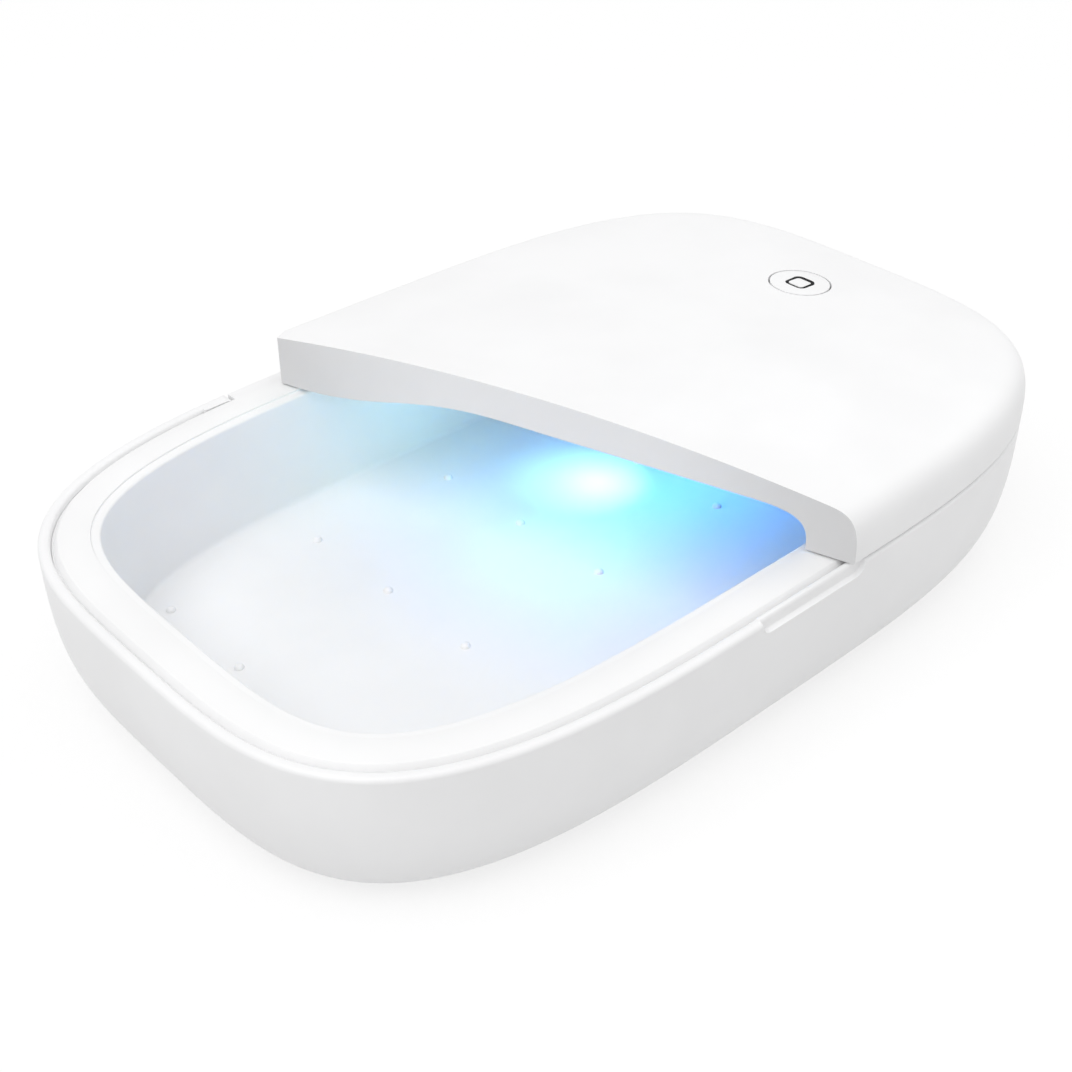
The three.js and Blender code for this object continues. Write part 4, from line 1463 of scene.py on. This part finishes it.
@dataclass
class Lid:
    """The lid's shell, liner and section."""

    plan: Plan
    hinge: Hinge
    form: LidForm
    section: Section
    flange: float = 1.8 * MM
    flange_step: float = 0.3 * MM
    ledge: float = 0.6 * MM
    boss_radius: float = 2.3 * MM
    hole_radius: float = 1.2 * MM
    hole_top: float = 37.85 * MM
    head_radius: float = 2.2 * MM
    head_depth: float = 1.2 * MM
    screw_length: float = 4.5 * MM
    screw_inset: float = 5.6 * MM
    screw_side_x: float = 38 * MM
    screw_end_y: float = 22 * MM
    emitter_bottom: float = 39.55 * MM
    emitter_middle: float = 29.97 * MM
    emitter_pitch: float = 27.03 * MM
    pocket_mouth: float = 6.8 * MM
    pocket_throat: float = 4.6 * MM
    pocket_round: float = 0.12
    pocket_reach: float = 1 * MM
    button_x: float = 72.5 * MM
    button_radius: float = 6.7 * MM
    button_hole_low: float = 36 * MM

    def emitters(self) -> list[tuple[str, float]]:
        """Lists the emitters' names and places along X."""
        names = ("uv_emitter_left", "centre_emitter", "uv_emitter_right")
        return [(name, self.emitter_middle + step * self.emitter_pitch)
                for name, step in zip(names, (-1, 0, 1))]

    def screws(self) -> list[tuple[str, float, float]]:
        """Lists the screws that hold the liner.

        Returns:
            The name, X and Y of each.
        """
        side = self.plan.half_width - self.screw_inset
        end = self.plan.half_length - self.screw_inset
        return [("side_front", self.screw_side_x, -side), ("side_rear", self.screw_side_x, side),
                ("end_front", end, -self.screw_end_y), ("end_rear", end, self.screw_end_y)]

    def tongue(self) -> Workpiece:
        """Makes the hinge barrel and the neck that carries it.

        Returns:
            The closed mesh.
        """
        plan, hinge, form = self.plan, self.hinge, self.form
        half = hinge.width / 2 - plan.clearance
        neck = Workpiece.block((-half, hinge.y - hinge.radius, hinge.z),
                               (half, plan.far, plan.seam + form.wall))
        bound = ((0, 0), (0, plan.seam + form.seam_round), (form.seam_round, plan.rim + form.rise))
        neck &= Workpiece.loft("bound", [form.outline.ring(*values) for values in bound])
        neck += hinge.rod(hinge.radius, -half, half, SEAT_SIDES)
        for side in (-1, 1):
            neck -= hinge.rod(hinge.pin_radius + plan.clearance, side * (half - hinge.pin_reach),
                              side * (half + plan.overrun), PIN_SIDES)
        return neck

    def build_shell(self, finish: bpy.types.Material) -> None:
        """Builds the outer shell, run up to the section's cover.

        Args:
            finish: Its material.
        """
        plan, form = self.plan, self.form
        shell = form.dome() - form.dome(form.wall)
        boss_low = plan.seam + self.flange + plan.clearance
        for _, x, y in self.screws():
            boss = Workpiece.post(self.boss_radius, x, y, boss_low, plan.rim + form.rise, PIN_SIDES)
            shell += boss & form.dome()
            shell -= Workpiece.post(self.hole_radius, x, y, plan.seam, self.hole_top, HOLE_SIDES)
        shell += self.tongue()
        shell -= Workpiece.post(self.button_radius + plan.clearance, self.button_x, 0,
                                self.button_hole_low, plan.far, CAP_SIDES)
        shell -= self.section.beyond(self.section.cover, plan.rim - self.ledge)
        shell.finished("lid_dome", "lid", "white_shell", finish, replaces="lid_shell")

    def build_cover(self, finishes: Finishes) -> None:
        """Builds the slice that carries the grey cut face.

        Args:
            finishes: The finishes to dress it with.
        """
        section, plan = self.section, self.plan
        low = plan.seam - plan.overrun
        slab = section.beyond(section.cover, low) - section.beyond(0.0, low)
        cover = (self.form.dome() - self.form.cavity()) & slab
        indices = [int(section.faces(face.normal)) for face in cover.object.data.polygons]
        made = cover.finished("section_slice", "lid", "section_grey", finishes.shell, finishes.section,
                              replaces="section_cover")
        made.data.polygons.foreach_set("material_index", indices)

    def build_liner(self, finishes: Finishes) -> None:
        """Builds the white liner with its tapered emitter pockets, and its screws.

        Args:
            finishes: The finishes to dress them with.
        """
        plan, form, hinge = self.plan, self.form, self.hinge
        top = plan.seam + self.flange
        edge = form.wall + plan.clearance
        under = plan.seam - plan.overrun
        profile = [*reversed(form.cavity_profile(0.0)),
                   (form.liner_edge - self.flange_step, plan.seam), (edge, plan.seam), (edge, top),
                   (form.liner_edge - form.liner_wall, top)]
        profile += [values for values in form.cavity_profile(form.liner_wall) if values[1] > top]
        liner = Workpiece.loft("liner", [form.outline.ring(*values) for values in profile])
        half = hinge.width / 2
        liner -= Workpiece.block((-half, hinge.y - hinge.radius - plan.clearance, under),
                                 (half, plan.far, top + plan.overrun))
        for _, x, y in self.screws():
            liner -= Workpiece.post(self.hole_radius, x, y, under, top + plan.overrun, HOLE_SIDES)
            liner -= Workpiece.post(self.head_radius, x, y, under, plan.seam + self.head_depth)
        for _, x in self.emitters():
            liner -= self.pocket(x)
        liner -= self.section.beyond(self.section.cover, under)
        liner.finished("inner_liner", "lid", "white_tray", finishes.tray, replaces="lid_liner")
        for name, x, y in self.screws():
            Screw(self.screw_length).build((x, y, plan.seam), "lid", f"liner_screw_{name}", finishes.steel)

    def pocket(self, x: float) -> Workpiece:
        """Makes the tapered square space below one emitter.

        Args:
            x: The emitter's X.

        Returns:
            The closed mesh.
        """
        wall, reach = self.form.liner_wall, self.pocket_reach
        taper = (self.pocket_mouth - self.pocket_throat) / wall
        rings = []
        for height, size in ((-reach, self.pocket_mouth + taper * reach),
                             (wall + reach, self.pocket_throat - taper * reach)):
            plan = rounded_plan(size, size, self.pocket_round * size, 5)
            plan[:, 0] += x
            rings.append(np.column_stack([plan, np.full(len(plan), self.form.roof + height)]))
        return Workpiece.stack("pocket", rings)


class Package(Enum):
    """The two kinds of emitter package."""

    AMBER = "amber_package"
    SILVER = "silver_package"


@dataclass
class Emitter:
    """One emitter: a square package with a frame, a pad and a die or a round lens, facing down."""

    node: str
    kind: Package
    x: float
    bottom: float
    side: float = 3.5 * MM
    corner: float = 0.15 * MM
    inner_corner: float = 0.1 * MM
    frame_width: float = 0.5 * MM
    body_levels: tuple[float, float] = (0.45 * MM, 1 * MM)
    frame_levels: tuple[float, float] = (0.12 * MM, 0.46 * MM)
    pad: tuple[float, float, float, float] = (0.62, 0.33 * MM, 0.46 * MM, 0.05 * MM)
    die: tuple[float, float, float, float] = (0.36, 0.2 * MM, 0.34 * MM, 0.02 * MM)
    lens_share: float = 0.4
    lens_height: float = 0.42 * MM
    lens_low: float = 0.03 * MM
    lens_flat: float = 0.02 * MM
    lens_steps: int = 8
    overcut: float = 1 * MM

    def square(self, size: float, low: float, high: float, radius: float) -> Workpiece:
        """Makes a square plate between two heights above the emitter's lower face."""
        return Workpiece.prism(rounded_plan(size, size, radius, 4), (self.x, 0, self.bottom + low),
                               high - low)

    def build(self, finishes: Finishes) -> None:
        """Builds the package, its frame, and its pad and die or its lens.

        Args:
            finishes: The finishes to dress it with.
        """
        slot = self.kind.value
        amber = self.kind is Package.AMBER
        body = self.square(self.side, *self.body_levels, self.corner)
        body.finished(f"{self.node}_body", "lid", slot, finishes.amber if amber else finishes.silver,
                      replaces=self.node)
        inner = self.side - 2 * self.frame_width
        rim = self.square(self.side, *self.frame_levels, self.corner)
        rim -= self.square(inner, -self.overcut, self.overcut, self.inner_corner)
        rim.finished(f"{self.node}_frame", "lid", slot, finishes.dark_frame if amber else finishes.silver)
        if amber:
            for name, sizes, finish in (("pad", self.pad, finishes.gold),
                                        ("die", self.die, finishes.dark_frame)):
                plate = self.square(inner * sizes[0], *sizes[1:])
                plate.finished(f"{self.node}_{name}", "lid", slot, finish)
            return
        radius = inner * self.lens_share
        profile = [(radius * math.sin(angle) + self.lens_flat, self.lens_height * (1 - math.cos(angle)))
                   for angle in arc(self.lens_steps)]
        lens = Workpiece.turned(profile, (self.x, 0, self.bottom + self.lens_low), sides=48)
        lens.finished(f"{self.node}_lens", "lid", slot, finishes.lens)


@dataclass
class Button:
    """The push button with its inlaid outline icon."""

    plan: Plan
    form: LidForm
    x: float
    radius: float
    wall: float = 0.7 * MM
    flange: float = 1 * MM
    flange_thickness: float = 0.5 * MM
    flange_gap: float = 0.75 * MM
    edge_round: float = 0.1 * MM
    edge_angle: float = math.radians(50.0)
    ring_gap: float = 0.1 * MM
    slot_half_width: float = 2.5 * MM
    slot_top: float = 42.25 * MM
    overcut: float = 1 * MM
    icon_side: float = 5.4 * MM
    icon_round: float = 1.5 * MM
    icon_stroke: float = 0.75 * MM
    icon_depth: float = 0.35 * MM
    icon_fit: float = 0.02 * MM
    icon_sunk: float = 0.03 * MM

    def icon(self, grow: float, low: float, high: float) -> Workpiece:
        """Makes the round-cornered square frame of the icon.

        Args:
            grow: How much wider than the inlay it is on each side.
            low: Its lowest Z.
            high: Its highest Z.

        Returns:
            The closed mesh.
        """
        side = self.icon_side + 2 * grow
        ring = Workpiece.prism(rounded_plan(side, side, self.icon_round + grow, 12),
                               (self.x, 0, low), high - low)
        inner = self.icon_side - 2 * self.icon_stroke - 2 * grow
        hole = Workpiece.prism(rounded_plan(inner, inner, self.icon_round - self.icon_stroke, 12),
                               (self.x, 0, low - self.overcut), high - low + 2 * self.overcut)
        return ring - hole

    def build(self, finishes: Finishes) -> None:
        """Builds the cap and the icon.

        Args:
            finishes: The finishes to dress them with.
        """
        top = self.form.top_at(self.x)
        low = top - self.form.wall - self.flange_gap - self.flange_thickness
        cap = Workpiece.post(self.radius - self.ring_gap, self.x, 0, low, self.plan.far, CAP_SIDES)
        cap &= self.form.dome()
        cap += Workpiece.post(self.radius + self.flange, self.x, 0, low, low + self.flange_thickness,
                              FLANGE_SIDES)
        cap -= Workpiece.post(self.radius - self.wall, self.x, 0, low - self.overcut,
                              top - self.wall - self.icon_depth, FLANGE_SIDES)
        cap -= Workpiece.block((0, -self.slot_half_width, low - self.overcut),
                               (self.x, self.slot_half_width, self.slot_top))
        cap = cap.softened(self.edge_round, self.edge_angle, 3)
        cap -= self.icon(self.icon_fit, top - self.icon_depth, top + 2 * self.overcut)
        cap.finished("push_button", "button", "white_shell", finishes.shell, replaces="button_cap")
        inlay = self.icon(0.0, top - self.icon_depth, top - self.icon_sunk)
        inlay.finished("icon_inlay", "button", "black_plastic", finishes.ink, replaces="button_icon")


class Workings:
    """The boards and parts inside the box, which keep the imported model's meshes."""

    def __init__(self, finishes: Finishes) -> None:
        """Chooses the finish of each node.

        Args:
            finishes: The finishes to choose from.
        """
        self.chosen = {
            finishes.green: ("main_board", "sensor_board", "button_board"),
            finishes.white_board: ("led_board",),
            finishes.steel: ("power_inlet", "lid_magnet"),
            finishes.black: ("controller_chip", "hall_sensor", "switch_body"),
            finishes.copper: ("driver_coil",),
            finishes.nylon: ("lead_header", "switch_plunger"),
            finishes.ribbon: ("lid_harness",),
        }

    def dress(self) -> None:
        """Gives each node its finish."""
        for material, nodes in self.chosen.items():
            for node in nodes:
                mesh = frame["nodes"][node].data
                mesh.materials.clear()
                mesh.materials.append(material)


@dataclass
class Camera:
    """The photograph's camera."""

    azimuth: float = math.radians(-42.43)
    elevation: float = math.radians(34.97)
    distance: float = 320.3 * MM
    lens: float = 54.2
    sensor: float = 36.0
    clip: float = 10 * MM
    target: tuple[float, float, float] = (-12.1 * MM, -6.2 * MM, 19.3 * MM)

    def build(self) -> None:
        """Sets the camera up."""
        flat = math.cos(self.elevation)
        back = Vector((math.sin(self.azimuth) * flat, -math.cos(self.azimuth) * flat,
                       math.sin(self.elevation)))
        side = Vector((0, 0, 1)).cross(back).normalized()
        matrix = Matrix((side, back.cross(side), back)).transposed().to_4x4()
        matrix.translation = Vector(self.target) + back * self.distance
        data = bpy.data.cameras.new("camera")
        data.lens = self.lens
        data.sensor_width = self.sensor
        data.clip_start = self.clip
        camera = bpy.data.objects.new("camera", data)
        camera.matrix_world = matrix
        bpy.context.scene.collection.objects.link(camera)
        bpy.context.scene.camera = camera


@dataclass
class Lamp:
    """A square area lamp."""

    name: str
    place: Sequence[float]
    aim: Sequence[float]
    size: float
    watts: float
    color: Color = WHITE

    def build(self) -> bpy.types.Object:
        """Adds the lamp.

        Returns:
            The lamp.
        """
        data = bpy.data.lights.new(self.name, "AREA")
        data.size = self.size
        data.energy = self.watts
        data.color = self.color
        lamp = bpy.data.objects.new(self.name, data)
        run = Vector(self.aim) - Vector(self.place)
        turn = run.to_track_quat("-Z", "Y").to_matrix().to_4x4()
        lamp.matrix_world = Matrix.Translation(Vector(self.place)) @ turn
        bpy.context.scene.collection.objects.link(lamp)
        return lamp


@dataclass
class Studio:
    """A white table under soft light."""

    radius: float = 4.0
    thickness: float = 10 * MM
    sky: float = 0.80
    rear_share: float = 0.65
    rear_reach: tuple[float, float] = (-0.1, 0.9)
    floor_color: Color = (0.68, 0.68, 0.68)
    shine: float = 0.75
    lamps: tuple[Lamp, ...] = (Lamp("key", (-0.55, -0.05, 1.1), (0, 0, 0), 0.9, 5.4),
                               Lamp("fill", (0.8, 0.2, 0.9), (0, 0, 0), 0.8, 1.3))

    def floor(self) -> None:
        """Makes the pale floor, which shows white and keeps the shadow."""
        floor = Workpiece.turned([(self.radius, -self.thickness), (self.radius, 0)], (0, 0, 0),
                                 sides=FLANGE_SIDES, name="floor")
        recipe = Recipe.of_material("pale_floor")
        seen = recipe.seen()
        recipe.shade({"Base Color": recipe.blend(seen, self.floor_color, WHITE),
                      "Roughness": 0.8, "Specular IOR Level": 0.0})
        glow = recipe.node("ShaderNodeEmission", {}, {"Color": WHITE, "Strength": 1.0})
        inputs = {0: seen * self.shine, 1: recipe.shader.outputs[0], 2: glow.outputs[0]}
        mix = recipe.node("ShaderNodeMixShader", {}, inputs)
        recipe.feed(recipe.tree.nodes["Material Output"].inputs["Surface"], mix.outputs[0])
        floor.object.data.materials.append(recipe.owner)

    def world(self) -> None:
        """Lights the scene softly, less from the rear, and shows white behind it."""
        world = bpy.data.worlds.new("studio")
        bpy.context.scene.world = world
        sky = Recipe(world, "Background")
        toward = sky.node("ShaderNodeTexCoord").outputs["Generated"]
        rear = sky.y_of(toward).step(*self.rear_reach)
        light = self.sky * (1.0 - rear * (1.0 - self.rear_share))
        sky.shade({"Color": WHITE, "Strength": light + sky.seen() * (1.0 - light)})

    def build(self) -> None:
        """Sets up the floor, the world and the lamps."""
        bpy.context.scene.view_settings.view_transform = "Standard"
        self.floor()
        self.world()
        for lamp in self.lamps:
            lamp.build()


@dataclass
class Glow:
    """The light that the emitters give, carried by the lid."""

    places: Sequence[float]
    height: float = 38.9 * MM
    aim_drop: float = 30 * MM
    size: float = 3 * MM
    watts: float = 0.0055
    spread: float = math.radians(120)
    color: Color = (0.02, 0.33, 1.0)
    core_aim: tuple[float, float, float] = (22.7 * MM, 14.1 * MM, 7.6 * MM)
    core_watts: float = 0.0015
    core_spread: float = math.radians(48)
    core_color: Color = (0.45, 1.0, 1.0)
    wash_drop: float = 4.5 * MM
    wash_aim: tuple[float, float, float] = (2 * MM, 54 * MM, 26 * MM)
    wash_watts: float = 0.0021
    wash_spread: float = math.radians(100)
    wash_color: Color = (0.42, 1.0, 0.86)

    def build(self) -> None:
        """Adds one small lamp under each emitter, a wash to the rear wall and a pale core."""
        places = [Vector((x, 0, self.height)) for x in self.places]
        lamps = [(Lamp(f"glow_{number}", place, place - Vector((0, 0, self.aim_drop)), self.size,
                       self.watts, self.color), self.spread) for number, place in enumerate(places)]
        low = places[0] - Vector((0, 0, self.wash_drop))
        lamps.append((Lamp("wash", low, self.wash_aim, self.size, self.wash_watts, self.wash_color),
                      self.wash_spread))
        lamps.append((Lamp("core", places[1], self.core_aim, self.size, self.core_watts, self.core_color),
                      self.core_spread))
        for lamp, spread in lamps:
            made = lamp.build()
            made.data.spread = spread
            world = made.matrix_world.copy()
            made.parent = frame["bodies"]["lid"]
            made.matrix_world = world


def main() -> None:
    """Builds the sub-assemblies in order and reports each piece."""
    logging.basicConfig(level=logging.INFO, format="%(message)s")
    plan = Plan()
    hinge = Hinge(plan)
    section = Section(plan)
    finishes = Finishes(section.angle)
    Camera().build()
    Studio().build()
    tub = Tub(plan, hinge)
    tub.build(finishes)
    hinge.pins(finishes.steel)
    Tray(plan, hinge).build(tub, finishes.tray)
    form = LidForm(plan)
    lid = Lid(plan, hinge, form, section)
    lid.build_shell(finishes.shell)
    lid.build_cover(finishes)
    lid.build_liner(finishes)
    for name, x in lid.emitters():
        kind = Package.SILVER if name.startswith("centre") else Package.AMBER
        Emitter(name, kind, x, lid.emitter_bottom).build(finishes)
    Glow([x for _, x in lid.emitters()]).build()
    Button(plan, form, lid.button_x, lid.button_radius).build(finishes)
    Workings(finishes).dress()
    for item in bpy.context.scene.objects:
        if item.type == "MESH":
            log.info("%s: %d faces", item.name, len(item.data.polygons))


if __name__ == "__main__":
    main()
